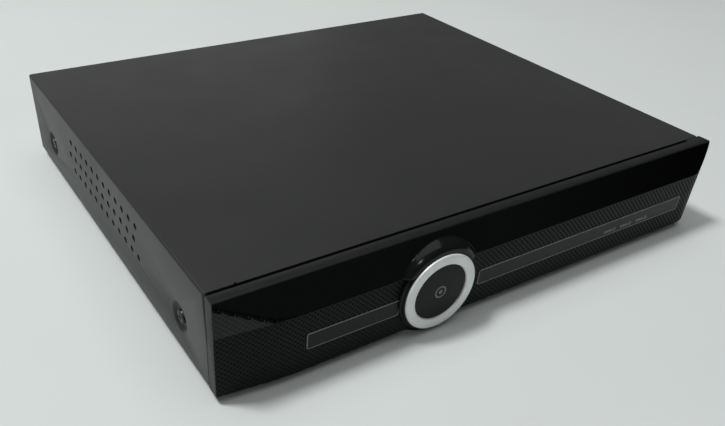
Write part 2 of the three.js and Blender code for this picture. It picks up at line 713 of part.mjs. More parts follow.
function fanRotor() {
  const back = FAN.y[0] + 2;
  const front = FAN.y[1] - 0.8;
  const hub = [
    [1.8, back],
    [FAN.hub, back],
    [FAN.hub, front - 0.8],
    [FAN.hub - 0.8, front],
    [0, front],
    [0, FAN.y[0] + 6.6],
    [1.8, FAN.y[0] + 6.6],
  ];
  const reach = FAN.duct - 0.7 - FAN.hub + 0.8;
  const blades = Array.from({ length: FAN.blades }, (_, i) => {
    const blade = new THREE.BoxGeometry(reach, 0.8, 8.2);
    blade.rotateX(THREE.MathUtils.degToRad(48));
    blade.translate(FAN.hub - 0.8 + reach / 2, (back + front) / 2, 0);
    blade.rotateY((i / FAN.blades) * 2 * Math.PI);
    return blade.translate(FAN.x, 0, FAN.z);
  });
  const swept = rod("y", FAN.duct - 0.7, [back, front], [FAN.x, 0, FAN.z], 28);
  return join(turned("y", hub, [FAN.x, 0, FAN.z], 16), ...blades.map((b) => common(b, swept)));
}

// Main board with its chips and inner connectors
const boardHoles = () =>
  [BOARD.x[0] + 6, BOARD.x[1] - 6].flatMap((x) => [BOARD.y[0] + 6, BOARD.y[1] - 24].map((y) => [x, y]));

function mainBoard() {
  const top = BOARD.z[1];
  const plate = block(BOARD.x, BOARD.y, BOARD.z);
  const chip = (x, y, w, d, h) => block(centred(x, w), centred(y, d), [top - 0.2, top + h]);
  const chips = [
    chip(10, 155, 24, 24, 2.4),
    chip(-22, 150, 11, 14, 1.2),
    chip(-22, 168, 11, 14, 1.2),
    chip(42, 150, 11, 14, 1.2),
    chip(-62, 172, 16, 9, 6),
    chip(60, 176, 7, 7, 4),
    chip(72, 176, 7, 7, 4),
    chip(88, 160, 12, 12, 8),
    chip(52, 122, 18, 7, 8),
    chip(84, 119, 14, 5, 6),
  ];
  const capacitors = [0, 1, 2].map((i) => rod("z", 4, [top - 0.2, top + 9], [92 - i * 10, 142, 0], 8));
  const holes = boardHoles().map(([x, y]) => rod("z", SCREW_R + GAP, [5, 20], [x, y, 0], 6));
  return cut(join(plate, ...chips, ...capacitors), ...holes);
}

function heatsink() {
  const x = 10;
  const y = 155;
  const base = BOARD.z[1] + 2.4 + GAP;
  const fins = Array.from({ length: 8 }, (_, i) =>
    block(centred(x - 14 + i * 4, 1.2), centred(y, 30), [base + 2, base + 12]),
  );
  return join(block(centred(x, 30), centred(y, 30), [base, base + 2.5]), ...fins);
}

const coinCell = () => rod("z", 10, [BOARD.z[1] + GAP, BOARD.z[1] + 3.5], [-58, 140, 0], 24);

const lightBoard = () => block([56, 112], [-1.9, -0.5], [11, 23]);

// A flat cable: a thin section swept along a route
function flatCable(route, width, thickness) {
  const section = new THREE.Shape([
    new THREE.Vector2(-thickness / 2, -width / 2),
    new THREE.Vector2(thickness / 2, -width / 2),
    new THREE.Vector2(thickness / 2, width / 2),
    new THREE.Vector2(-thickness / 2, width / 2),
  ]);
  const path = new THREE.CatmullRomCurve3(route.map((p) => new THREE.Vector3(...p)));
  return new THREE.ExtrudeGeometry(section, { steps: 16, bevelEnabled: false, extrudePath: path });
}

const lightRibbon = () =>
  flatCable(
    [
      [84, 0.2, 17],
      [84, 8, 17],
      [84, 40, 15],
      [84, 80, 15],
      [84, 104, 22],
      [84, 115, 25],
      [84, 119, 21],
      [84, 119, 17.6],
    ],
    10,
    1,
  );

const sataCable = () =>
  flatCable(
    [
      [38, 60, 17],
      [44, 60, 17],
      [52, 66, 20],
      [55, 84, 24],
      [54, 106, 27],
      [53, 119, 26],
      [52, 122, 22],
      [52, 122, 19.6],
    ],
    6,
    2,
  );

// Hard disk
const diskHoles = () => [-4.3, -48.7].flatMap((x) => [DISK.y[0] + 4.2, DISK.y[1] - 4.2].map((y) => [x, y]));

function diskCasting() {
  const top = DISK.z[1] - 1.2 - GAP;
  const floor = 14;
  const outer = block(DISK.x, DISK.y, [DISK.z[0], top]);
  const bowl = rod("z", SPINDLE.platter + 2, [floor, top + 1], [SPINDLE.x, SPINDLE.y, 0], 32);
  const bay = block([-40, DISK.x[1] - 4], grown(DISK.y, -5), [floor, top + 1]);
  const boardBay = block(grown(DISK.x, -15), grown(DISK.y, -8.4), [DISK.z[0] - 1, DISK.z[0] + 2]);
  const screwHoles = diskHoles().map(([x, y]) => rod("z", 1.8, [5, 12], [x, y, 0], 6));
  const spindle = rod("z", 3, [floor - 0.5, 20.6], [SPINDLE.x, SPINDLE.y, 0], 12);
  const pivot = rod("z", 2.2, [floor - 0.5, 28], [PIVOT.x, PIVOT.y, 0], 12);
  return join(cut(outer, bowl, bay, boardBay, ...screwHoles), spindle, pivot);
}

function diskLid() {
  const low = DISK.z[1] - 1.2;
  const plate = block(grown(DISK.x, -0.5), grown(DISK.y, -0.5), [low, DISK.z[1] - 0.4]);
  const raisedPad = block(grown(DISK.x, -9), grown(DISK.y, -9), [low + 0.2, DISK.z[1]]);
  return join(plate, raisedPad);
}

function platters() {
  const r = SPINDLE.platter;
  const profile = [
    [0, 21],
    [3.3, 21],
    [3.3, 16],
    [12.5, 16],
    [12.5, 18],
    [r, 18],
    [r, 19.3],
    [12.5, 19.3],
    [12.5, 23],
    [r, 23],
    [r, 24.3],
    [12.5, 24.3],
    [12.5, 27],
    [0, 27],
  ];
  return turned("z", profile, [SPINDLE.x, SPINDLE.y, 0], 24);
}

function actuator() {
  const barrel = turned(
    "z",
    [
      [2.5, 15],
      [6, 15],
      [6, 27],
      [2.5, 27],
    ],
    [0, 0, 0],
    12,
  );
  const arm = ([z0, z1]) => {
    const shape = new THREE.Shape();
    shape.moveTo(3, -5).lineTo(PIVOT.arm - 1, -1.6);
    shape.absarc(PIVOT.arm - 1.6, 0, 1.6, -Math.PI / 2, Math.PI / 2);
    shape.lineTo(3, 5);
    return raised(shape, [z0, z1]);
  };
  const levels = [
    [16.6, 17.4],
    [20.3, 22],
    [24.9, 25.7],
  ];
  const coil = raised(
    new THREE.Shape([
      new THREE.Vector2(-4, -4),
      new THREE.Vector2(-4, 4),
      new THREE.Vector2(-20, 9),
      new THREE.Vector2(-20, -9),
    ]),
    [20.3, 22],
  );
  const bore = rod("z", 2.5, [14, 28], [0, 0, 0], 12);
  const body = cut(join(barrel, ...levels.map(arm), coil), bore);
  return body.rotateZ(PIVOT.parked).translate(PIVOT.x, PIVOT.y, 0);
}

const magnetYoke = () =>
  join(
    block([14, 31], [80, 102], [14.4, 17.6]),
    block([14, 31], [80, 102], [24.6, 27.6]),
    block([27, 31], [97, 102], [17, 25]),
  );

const diskBoard = () => block(grown(DISK.x, -16), grown(DISK.y, -9.4), [DISK.z[0] + 0.2, DISK.z[0] + 1.6]);

// Assembly
add("base_tray", tray(), STEEL);
add("top_cover", topCover(), MATT_PAINT);
add("front_bezel", frontBezel(), BEZEL);
add("gloss_fascia", glossFascia(), GLOSS);
add("emblem_ring", emblemRing(), SILVER);
add("emblem_disc", emblemDisc(), DISC);
add("left_inlay", inlay(INLAY_LEFT), INLAY);
add("right_inlay", inlay(INLAY_RIGHT), INLAY);
["power", "disk", "network"].forEach((name, i) => add(`light_pipe_${name}`, lightPipe(LIGHT_X[i]), CLEAR));

for (const [side, x] of [
  ["left", -1],
  ["right", 1],
]) {
  ["front", "rear"].forEach((end, i) => {
    add(`foot_${end}_${side}`, foot(x * FOOT.x, FOOT.y[i]), RUBBER);
    const seat = x * (HALF_W - DIMPLE_DEPTH + 0.05);
    add(`side_screw_${end}_${side}`, screw("x", x, seat, [0, SCREW_Y[i], SCREW_Z]), SCREW);
  });
  const place = [x * REAR_SCREW.x, 0, REAR_SCREW.z];
  add(`rear_screw_${side}`, screw("y", 1, COVER_D + 0.05, place, { length: 4 }), SCREW);
}

BNC.x.forEach((x, i) => add(`bnc_jack_${i + 1}`, bncJack(x), NICKEL));
add("rca_audio_in", rcaJack(RCA.z[1]), WHITE);
add("rca_audio_out", rcaJack(RCA.z[0]), RED);
add("vga_socket", vgaSocket(), NICKEL);
add("hdmi_socket", hdmiSocket(), NICKEL);
add("usb_stack", usbStack(), NICKEL);
add("rj45_socket", rj45Socket(), NICKEL);
add("dc_jack", dcJack(), PLASTIC);
add("switch_housing", switchHousing(), PLASTIC);
add("power_rocker", powerRocker(), PLASTIC);
add("ground_screw", screw("y", 1, REAR_WALL[1] + 0.05, [GROUND.x, 0, GROUND.z]), NICKEL);
add("fan_frame", fanFrame(), PLASTIC);
add("fan_rotor", fanRotor(), PLASTIC);

add("main_board", mainBoard(), CIRCUIT);
boardHoles().forEach(([x, y], i) => {
  add(`board_screw_${i + 1}`, screw("z", 1, BOARD.z[1] + 0.05, [x, y, 0], { r: 1.2, length: 4 }), STEEL);
});
add("heatsink", heatsink(), ALUMINIUM);
add("coin_cell", coinCell(), NICKEL);
add("light_board", lightBoard(), CIRCUIT);
add("light_ribbon", lightRibbon(), RIBBON);
add("sata_cable", sataCable(), RED);

add("disk_casting", diskCasting(), ALUMINIUM);
add("disk_lid", diskLid(), STEEL);
add("disk_platters", platters(), SILVER);
add("disk_actuator", actuator(), ALUMINIUM);
add("disk_magnet", magnetYoke(), NICKEL);
add("disk_board", diskBoard(), CIRCUIT);
diskHoles().forEach(([x, y], i) => {
  const fit = { head: 3.4, length: 5.5 };
  add(`disk_screw_${i + 1}`, screw("z", -1, COVER_BOTTOM - 0.05, [x, y, 0], fit), NICKEL);
});

// The origin is under the middle of the whole object, on the floor
recorder.position.y = -(BNC.tip + RING_FRONT) / 2;

export default recorder;
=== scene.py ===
import json
import math

import bmesh
import bpy
from mathutils import Matrix, Vector


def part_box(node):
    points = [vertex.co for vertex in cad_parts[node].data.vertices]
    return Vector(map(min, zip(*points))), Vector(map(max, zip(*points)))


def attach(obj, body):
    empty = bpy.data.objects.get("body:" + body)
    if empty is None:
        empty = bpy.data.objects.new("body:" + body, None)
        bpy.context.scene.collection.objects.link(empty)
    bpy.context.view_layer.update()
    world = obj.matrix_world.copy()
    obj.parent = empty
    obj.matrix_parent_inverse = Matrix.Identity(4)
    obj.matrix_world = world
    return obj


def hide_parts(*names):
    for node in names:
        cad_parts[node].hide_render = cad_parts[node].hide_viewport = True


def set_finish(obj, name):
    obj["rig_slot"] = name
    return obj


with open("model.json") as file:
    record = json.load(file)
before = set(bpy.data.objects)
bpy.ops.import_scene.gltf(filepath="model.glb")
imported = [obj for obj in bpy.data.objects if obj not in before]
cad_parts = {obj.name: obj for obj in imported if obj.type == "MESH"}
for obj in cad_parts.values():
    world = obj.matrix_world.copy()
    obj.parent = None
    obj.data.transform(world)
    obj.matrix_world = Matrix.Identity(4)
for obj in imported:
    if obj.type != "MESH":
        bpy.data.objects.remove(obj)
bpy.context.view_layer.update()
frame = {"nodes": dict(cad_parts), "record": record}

# Shapes are written in millimetres. Their y counts from the CAD's front plane, which lies
# COVER_REAR ahead of the cover's rear edge.
MM = 0.001
NODES = frame["nodes"]
COVER_REAR = 211.7
FRONT_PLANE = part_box("top_cover")[1].y / MM - COVER_REAR
TAU = 2 * math.pi


def at(x, y, z):
    return Vector((x, y + FRONT_PLANE, z)) * MM


class Span:
    """A CAD node's box: lowest and highest x, y and z, and its middle."""

    def __init__(self, node):
        low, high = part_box(node)
        self.x = (low.x / MM, high.x / MM)
        self.y = (low.y / MM - FRONT_PLANE, high.y / MM - FRONT_PLANE)
        self.z = (low.z / MM, high.z / MM)
        self.middle = tuple(sum(pair) / 2 for pair in (self.x, self.y, self.z))


COVER = Span("top_cover")
BEZEL = Span("front_bezel")
RING = Span("emblem_ring")
DISC = Span("emblem_disc")
HALF_W = COVER.x[1]
TOP = BEZEL.z[1]
SHEET = 1.0
EMBLEM_X, _, EMBLEM_Z = RING.middle
RING_R = (RING.x[1] - RING.x[0]) / 2
RING_FRONT = RING.y[0]
DISC_R = (DISC.x[1] - DISC.x[0]) / 2

# Bezel section: a flat strip on top, a facet that leans forward, and a lower wall.
# FACE_Y, SHOULDER_Y and CORNER_Y are the wall, the facet's top edge and the wall's two ends.
BEZEL_BOTTOM = 3.4
BEZEL_BACK = 0.4
STRIP_BACK = 0.1
FACE_Y = -8.0
SHOULDER_Y = -4.8
CORNER_Y = -5.2
FACET_BOTTOM = 30.1
FACET_SLOPE = (SHOULDER_Y - FACE_Y) / (TOP - FACET_BOTTOM)
DRAFT = 0.3 / (FACET_BOTTOM - BEZEL_BOTTOM)
LIP_Z = TOP - 0.5
WALL = 2.2

# How far in from the bezel's ends the wall bends back, left and right
LEFT_SWEEP = 33
RIGHT_SWEEP = 8.3

# The strip's rear edge steps back beyond the end of the groove behind it
GROOVE_END = HALF_W - 10
CORNER_BACK = 1.4

# Above LEAN_Z the cover's front edge draws back, by these amounts at its top edge
LEAN_Z = 22
SIDE_SHY = 1.8
TOP_SHY = 1.0
NOTCH_X = -118
NOTCH_DEPTH = 0.7

# Gloss fascia on the facet, the emblem's boss and the hood round it
GLOSS_ENDS = (1.4 - HALF_W, HALF_W - 1)
GLOSS_T = 1.1
BOSS_R = 17.7
BOSS_FRONT = RING_FRONT + 0.95
HOOD_R = BOSS_R + 0.5
HOOD_CURVE = 0.3
HOOD_BLEND = 0.3

# Diamond grain of the lower wall
GRAIN_PITCH = 2.3
GRAIN_ROW = 1.12
GRAIN_DEPTH = 0.28
WALL_ROWS = 96


def ease(value, start, end):
    """From 0 at start to 1 at end, smoothly."""
    t = min(1, max(0, (value - start) / (end - start)))
    return t * t * (3 - 2 * t)


# ---------------------------------------------------------------- meshes


WELD = 1e-7


def new_object(name, points, faces):
    """A mesh object from points in millimetres, with points that meet made one."""
    mesh = bpy.data.meshes.new(name)
    mesh.from_pydata([at(*p) for p in points], [], faces)
    bm = bmesh.new()
    bm.from_mesh(mesh)
    bmesh.ops.remove_doubles(bm, verts=bm.verts, dist=WELD)
    bmesh.ops.dissolve_degenerate(bm, edges=bm.edges, dist=WELD)
    bmesh.ops.recalc_face_normals(bm, faces=bm.faces)
    bm.to_mesh(mesh)
    bm.free()
    obj = bpy.data.objects.new(name, mesh)
    bpy.context.scene.collection.objects.link(obj)
    return obj


def loft(name, rings, around=False):
    """Closed outlines joined one to the next, with the two ends filled or, with around, joined."""
    count = len(rings[0])
    points = [p for ring in rings for p in ring]
    steps = len(rings) if around else len(rings) - 1
    faces = []
    for i in range(steps):
        a, b = i * count, (i + 1) % len(rings) * count
        for j in range(count):
            k = (j + 1) % count
            faces.append((a + j, a + k, b + k, b + j))
    if not around:
        faces.append(tuple(range(count - 1, -1, -1)))
        faces.append(tuple(range(len(points) - count, len(points))))
    return new_object(name, points, faces)


def turned(name, axis, profile, centre, sides=64):
    """A closed profile of (radius, place along the axis) turned about an axis through centre."""
    rings = []
    for i in range(sides):
        c, s = math.cos(TAU * i / sides), math.sin(TAU * i / sides)
        ring = []
        for r, h in profile:
            local = {"x": (h, r * c, r * s), "y": (r * c, h, r * s), "z": (r * c, r * s, h)}[axis]
            ring.append(tuple(a + b for a, b in zip(centre, local)))
        rings.append(ring)
    return loft(name, rings, around=True)


def drill(axis, radius, ends, centre, sides=20):
    """A plain cylinder between two places along an axis, for cutting a hole."""
    low, high = ends
    return turned("drill", axis, [(0, low), (radius, low), (radius, high), (0, high)], centre, sides)


def rounded(x0, x1, z0, z1, r, steps=6):
    """Points of a rectangle with round corners."""
    points = []
    corners = ((x1 - r, z0 + r, -90), (x1 - r, z1 - r, 0), (x0 + r, z1 - r, 90), (x0 + r, z0 + r, 180))
    for cx, cz, start in corners:
        for i in range(steps + 1):
            a = math.radians(start + 90 * i / steps)
            points.append((cx + r * math.cos(a), cz + r * math.sin(a)))
    return points


def slab(name, outline, y0, y1):
    """An outline of x and z given depth from y0 to y1."""
    return loft(name, [[(x, y, z) for x, z in outline] for y in (y0, y1)])


def block(name, x, y, z):
    """A box from its (low, high) pairs in x, y and z."""
    outline = [(x[0], z[0]), (x[1], z[0]), (x[1], z[1]), (x[0], z[1])]
    return slab(name, outline, *y)


def about(middle, width):
    """The (low, high) pair of a width round its middle."""
    return (middle - width / 2, middle + width / 2)


def bake(obj):
    """Puts the object's modifiers into its mesh."""
    graph = bpy.context.evaluated_depsgraph_get()
    mesh = bpy.data.meshes.new_from_object(obj.evaluated_get(graph))
    obj.modifiers.clear()
    obj.data = mesh
    return obj


def joined(name, objects):
    """Several objects as one mesh, without cutting them."""
    bm = bmesh.new()
    for o in objects:
        bm.from_mesh(o.data)
        bpy.data.objects.remove(o)
    mesh = bpy.data.meshes.new(name)
    bm.to_mesh(mesh)
    bm.free()
    obj = bpy.data.objects.new(name, mesh)
    bpy.context.scene.collection.objects.link(obj)
    return obj


def combine(obj, operation, *others):
    """Adds the others to the object or cuts them out of it, and deletes them."""
    for other in others:
        modifier = obj.modifiers.new(operation, "BOOLEAN")
        modifier.operation = operation
        modifier.solver = "EXACT"
        modifier.object = other
        bpy.context.view_layer.update()
        bake(obj)
        bpy.data.objects.remove(other)
    return obj


SHARP = 32


def bevel(obj, width):
    modifier = obj.modifiers.new("edges", "BEVEL")
    modifier.width = width * MM
    modifier.segments = 2
    modifier.limit_method = "ANGLE"
    modifier.angle_limit = math.radians(SHARP)
    modifier.harden_normals = True
    modifier.use_clamp_overlap = True


def smooth(obj, angle):
    """Smooth shading, with edges sharper than angle left hard."""
    obj.data.shade_smooth()
    obj.data.set_sharp_from_angle(angle=math.radians(angle))


# ---------------------------------------------------------------- materials


class Look:
    """A procedural material. Its patterns lie in the object's own space, sized in millimetres."""

    def __init__(self, name, color, roughness, metallic=0.0, specular=0.5):
        self.material = bpy.data.materials.new(name)
        self.material.use_nodes = True
        self.tree = self.material.node_tree
        self.shader = self.tree.nodes["Principled BSDF"]
        self.shader.inputs["Base Color"].default_value = (*color, 1)
        self.shader.inputs["Roughness"].default_value = roughness
        self.shader.inputs["Metallic"].default_value = metallic
        self.shader.inputs["Specular IOR Level"].default_value = specular
        self.color = color
        self.place = self.node("ShaderNodeTexCoord").outputs["Object"]
        self.height = None

    def node(self, kind, **values):
        """A new node. Each value goes to the input of that name, or to the setting if there is none."""
        made = self.tree.nodes.new(kind)
        for key, value in values.items():
            if key in made.inputs:
                if isinstance(value, bpy.types.NodeSocket):
                    self.tree.links.new(value, made.inputs[key])
                else:
                    made.inputs[key].default_value = value
            else:
                setattr(made, key, value)
        return made

    def link(self, a, b):
        self.tree.links.new(a, b)

    def math(self, operation, a, b=0.0):
        made = self.node("ShaderNodeMath", operation=operation)
        for i, value in enumerate((a, b)):
            if isinstance(value, bpy.types.NodeSocket):
                self.link(value, made.inputs[i])
            else:
                made.inputs[i].default_value = value
        return made.outputs[0]

    def noise(self, size_mm, detail=3.0, stretch=(1, 1, 1)):
        place = self.node("ShaderNodeMapping", Vector=self.place, Scale=stretch).outputs[0]
        made = self.node("ShaderNodeTexNoise", Vector=place, Scale=1 / (size_mm * MM), Detail=detail)
        return made.outputs["Fac"]

    def cells(self, size_mm):
        made = self.node("ShaderNodeTexVoronoi", Vector=self.place, Scale=1 / (size_mm * MM))
        return made.outputs["Distance"]

    def tint(self, factor, dark, light, low=0.3, high=0.7):
        """Base colour times dark up to base colour times light, as factor goes from low to high."""
        ramp = self.node("ShaderNodeValToRGB", Fac=factor)
        for element, place, gain in zip(ramp.color_ramp.elements, (low, high), (dark, light)):
            element.position = place
            element.color = (*[min(1, c * gain) for c in self.color], 1)
        self.link(ramp.outputs["Color"], self.shader.inputs["Base Color"])
        return self

    def polish(self, factor, low, high):
        """Roughness from low to high as factor goes from 0.3 to 0.7."""
        made = self.node("ShaderNodeMapRange", Value=factor)
        for key, value in (("From Min", 0.3), ("From Max", 0.7), ("To Min", low), ("To Max", high)):
            made.inputs[key].default_value = value
        self.link(made.outputs[0], self.shader.inputs["Roughness"])
        return self

    def bump(self, height, depth_mm, strength=1.0):
        made = self.node("ShaderNodeBump", Height=height, Strength=strength, Distance=depth_mm * MM)
        if self.height:
            self.link(self.height, made.inputs["Normal"])
        self.height = made.outputs[0]
        self.link(self.height, self.shader.inputs["Normal"])
        return self


def powder_coat():
    look = Look("powder_coat", (0.0135, 0.0145, 0.0138), 0.44)
    fine = look.noise(0.45, 2)
    look.tint(look.noise(0.9, 4), 0.88, 1.14)
    look.polish(look.noise(35, 3), 0.41, 0.48)
    return look.bump(fine, 0.02, 0.5)


def bezel_plastic():
    look = Look("bezel_plastic", (0.0062, 0.0068, 0.0069), 0.42, specular=0.26)
    look.tint(look.noise(14, 3), 0.92, 1.08)
    look.polish(look.noise(6, 4), 0.38, 0.48)
    return look.bump(look.noise(0.35, 2), 0.012, 0.5)


def grain(name, specular):
    """The lower wall's plastic, with painted shade darkening the bottoms of the diamond dimples."""
    look = Look(name, (0.0036, 0.0042, 0.0044), 0.36, specular=specular)
    split = look.node("ShaderNodeSeparateXYZ", Vector=look.place)
    across = look.math("COSINE", look.math("MULTIPLY", split.outputs["X"], TAU / (GRAIN_PITCH * MM)))
    up = look.math("COSINE", look.math("MULTIPLY", split.outputs["Z"], math.pi / (GRAIN_ROW * MM)))
    dimple = look.math("MULTIPLY", across, up)
    # Painted shade: the base colour drops to near black in the dimple bottoms and rises on the lattice
    # between them.
    look.tint(dimple, 1.5, 0.02, low=-0.05, high=0.3)
    look.polish(dimple, 0.34, 0.6)
    return look.bump(look.noise(0.3, 2), 0.008, 0.4)


def gloss(name, roughness, specular):
    """Black gloss with painted reflection: its base colour darkens from the left end of the bezel to the
    right.
    """
    look = Look(name, (0.0012, 0.0013, 0.0013), roughness, specular=specular)
    split = look.node("ShaderNodeSeparateXYZ", Vector=look.place)
    # Painted reflection: the base colour is 6.5 times the black at the left end and almost nothing at the
    # right end.
    look.tint(split.outputs["X"], 6.5, 0.05, low=-HALF_W * MM, high=HALF_W * MM)
    look.polish(look.noise(20, 5), roughness * 0.8, roughness * 1.2)
    return look.bump(look.noise(9, 1), 0.004, 0.25)


def satin_metal(name, color, roughness, line=(1, 1, 1), size=0.5, metallic=1.0):
    look = Look(name, color, roughness, metallic=metallic)
    look.tint(look.noise(8, 3), 0.94, 1.04)
    look.polish(look.noise(size, 3, line), roughness * 0.85, roughness * 1.2)
    return look.bump(look.noise(size, 2, line), 0.006, 0.3)


def plastic(name, color, roughness, size=0.4, specular=0.5):
    look = Look(name, color, roughness, specular=specular)
    look.tint(look.noise(10, 3), 0.9, 1.1)
    look.polish(look.noise(5, 3), roughness * 0.9, min(1, roughness * 1.15))
    return look.bump(look.noise(size, 2), 0.015, 0.4)


def circuit_board():
    look = Look("circuit_board", (0.012, 0.10, 0.045), 0.4)
    look.tint(look.cells(2.2), 0.75, 1.5, 0.2, 0.6)
    look.polish(look.noise(4, 2), 0.3, 0.5)
    return look.bump(look.cells(1.6), 0.03, 0.4)


LOOKS = {
    "black_powder_coat": powder_coat(),
    "bezel_plastic": bezel_plastic(),
    "bezel_grain": grain("bezel_grain", 0.1),
    # A shaded copy of the grain plastic that reflects almost no light, so the upper slope of the wall
    # reads darker: painted shade.
    "bezel_grain_shaded_slope": grain("bezel_grain_shaded_slope", 0.012),
    # Lit and shaded copies of one gloss plastic: the facet's copy reflects almost nothing so it stays
    # black, the hood's copy reflects far more and catches the front card lamp as a highlight.
    "gloss_black": gloss("gloss_black", 0.1, 0.002),
    "gloss_hood_lit": gloss("gloss_hood_lit", 0.15, 0.2),
    "satin_silver": satin_metal("satin_silver", (0.86, 0.885, 0.875), 0.4, metallic=0.22),
    "outline_silver": plastic("outline_silver", (0.2, 0.205, 0.205), 0.35, 0.5),
    "emblem_black": plastic("emblem_black", (0.0034, 0.0047, 0.0051), 0.3, 0.6, 0.14),
    "inlay_smoke": plastic("inlay_smoke", (0.0032, 0.0044, 0.0052), 0.3, 0.5, 0.17),
    "mark_grey": plastic("mark_grey", (0.16, 0.17, 0.17), 0.5),
    "light_pipe": plastic("light_pipe", (0.62, 0.66, 0.66), 0.12, 1.0),
    "zinc_steel": satin_metal("zinc_steel", (0.56, 0.57, 0.57), 0.34, (0.08, 1, 1), 0.6),
    "foot_rubber": plastic("foot_rubber", (0.014, 0.014, 0.014), 0.85, 0.7, 0.25),
    "black_screw": satin_metal("black_screw", (0.045, 0.046, 0.048), 0.36),
    "nickel": satin_metal("nickel", (0.66, 0.63, 0.57), 0.24),
    "gold": satin_metal("gold", (0.80, 0.56, 0.22), 0.28),
    "dielectric": plastic("dielectric", (0.72, 0.71, 0.66), 0.4),
    "rca_white": plastic("rca_white", (0.70, 0.69, 0.64), 0.38),
    "rca_red": plastic("rca_red", (0.40, 0.018, 0.016), 0.38),
    "vga_blue": plastic("vga_blue", (0.015, 0.05, 0.26), 0.42),
    "black_plastic": plastic("black_plastic", (0.014, 0.014, 0.015), 0.42),
    "circuit_board": circuit_board(),
    "bare_aluminium": satin_metal("bare_aluminium", (0.62, 0.63, 0.64), 0.42, size=0.8),
    "mirror_platter": satin_metal("mirror_platter", (0.74, 0.74, 0.74), 0.08, size=2),
    "ribbon_grey": plastic("ribbon_grey", (0.34, 0.35, 0.36), 0.5),
    "cable_red": plastic("cable_red", (0.38, 0.02, 0.018), 0.45),
}
SLOTS = {part["node"]: part["material_slot"] for part in frame["record"]["subparts"]}


def piece(obj, look, slot=None, replaces=(), body="chassis", angle=SHARP, edge=None):
    """Gives a finished mesh its material, its body and its slot."""
    if look:
        obj.data.materials.clear()
        obj.data.materials.append(LOOKS[look].material)
    smooth(obj, angle)
    if edge:
        bevel(obj, edge)
    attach(obj, body)
    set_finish(obj, slot or look)
    if replaces:
        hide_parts(*replaces)
    return obj


# ---------------------------------------------------------------- cover


VENT_R = 1.55
VENT_PITCH = 7.4
VENT_COLUMNS = 12
# Height of each row of vents and y of its rearmost one
VENT_ROWS = ((35.25, 145.7), (27.8, 149.3), (20.5, 145.7))
SIDE_SCREWS = [Span(f"side_screw_{end}_left").middle for end in ("front", "rear")]
SCREW_HOLE_R = 1.8
# Radius and depth of the dished seat round a side screw, from its rim inwards
DIMPLE = (
    (6.75, -0.05), (6.45, 0.07), (6.2, 0.22), (5.95, 0.5),
    (5.6, 0.95), (5.25, 1.3), (4.9, 1.5), (4.4, 1.6),
)
COVER_BEND_R = 1.15
BEND_STEPS = 6
LIP_BOTTOM = 36


def bend_arc(x, z, radius, start, turn):
    """Points of a bend round (x, z), from the angle start on by turn degrees."""
    angles = [math.radians(start + turn * i / BEND_STEPS) for i in range(BEND_STEPS + 1)]
    return [(x + radius * math.cos(a), z + radius * math.sin(a)) for a in angles]


def cover_section(outer, thickness, radius):
    """The bent sheet's section in x and z, as an outline."""
    low, top = COVER.z
    inner = outer - thickness
    x, z = outer - radius, top - radius
    notch = [NOTCH_X + offset for offset in (-0.5, -0.35, 0.35, 0.5)]
    points = [(-outer, low), (-outer, LEAN_Z)]
    points += bend_arc(-x, z, radius, 180, -90)
    points += [(edge, top) for edge in notch]
    points += bend_arc(x, z, radius, 90, -90)
    points += [(outer, LEAN_Z), (outer, low), (inner, low), (inner, LEAN_Z)]
    points += bend_arc(x, z, radius - thickness, 0, 90)
    points += [(edge, top - thickness) for edge in reversed(notch)]
    points += bend_arc(-x, z, radius - thickness, 90, 90)
    points += [(-inner, LEAN_Z), (-inner, low)]
    return points


def dimple_solid(name, side, y, z, extra):
    """The dimple's hollow, or with extra the dished metal round it."""
    outer = side * HALF_W
    profile = [(r + extra, outer - side * (d + extra)) for r, d in DIMPLE]
    if extra:
        profile[0] = (DIMPLE[0][0] + extra, outer - side * 0.05)
    profile = [(0, profile[0][1])] + profile + [(0, profile[-1][1])]
    return turned(name, "x", profile, (0, y, z), 40)


def lean_front(cover):
    """Draws the front edge back towards the top, where a dark wedge opens behind the bezel."""
    front_band = 1
    bend_band = 1.2
    notch_half = 0.4
    mesh = bmesh.new()
    mesh.from_mesh(cover.data)
    bmesh.ops.triangulate(mesh, faces=[f for f in mesh.faces if len(f.verts) > 4])
    for v in mesh.verts:
        x, y, z = v.co / MM - Vector((0, FRONT_PLANE, 0))
        if y > COVER.y[0] + front_band:
            continue
        corner = max(0, abs(x) - HALF_W + bend_band) / bend_band
        shy = TOP_SHY + (SIDE_SHY - TOP_SHY) * min(1, corner)
        if abs(x - NOTCH_X) < notch_half:
            shy += NOTCH_DEPTH
        v.co.y += shy * max(0, z - LEAN_Z) / (COVER.z[1] - LEAN_Z) * MM
    mesh.to_mesh(cover.data)
    mesh.free()


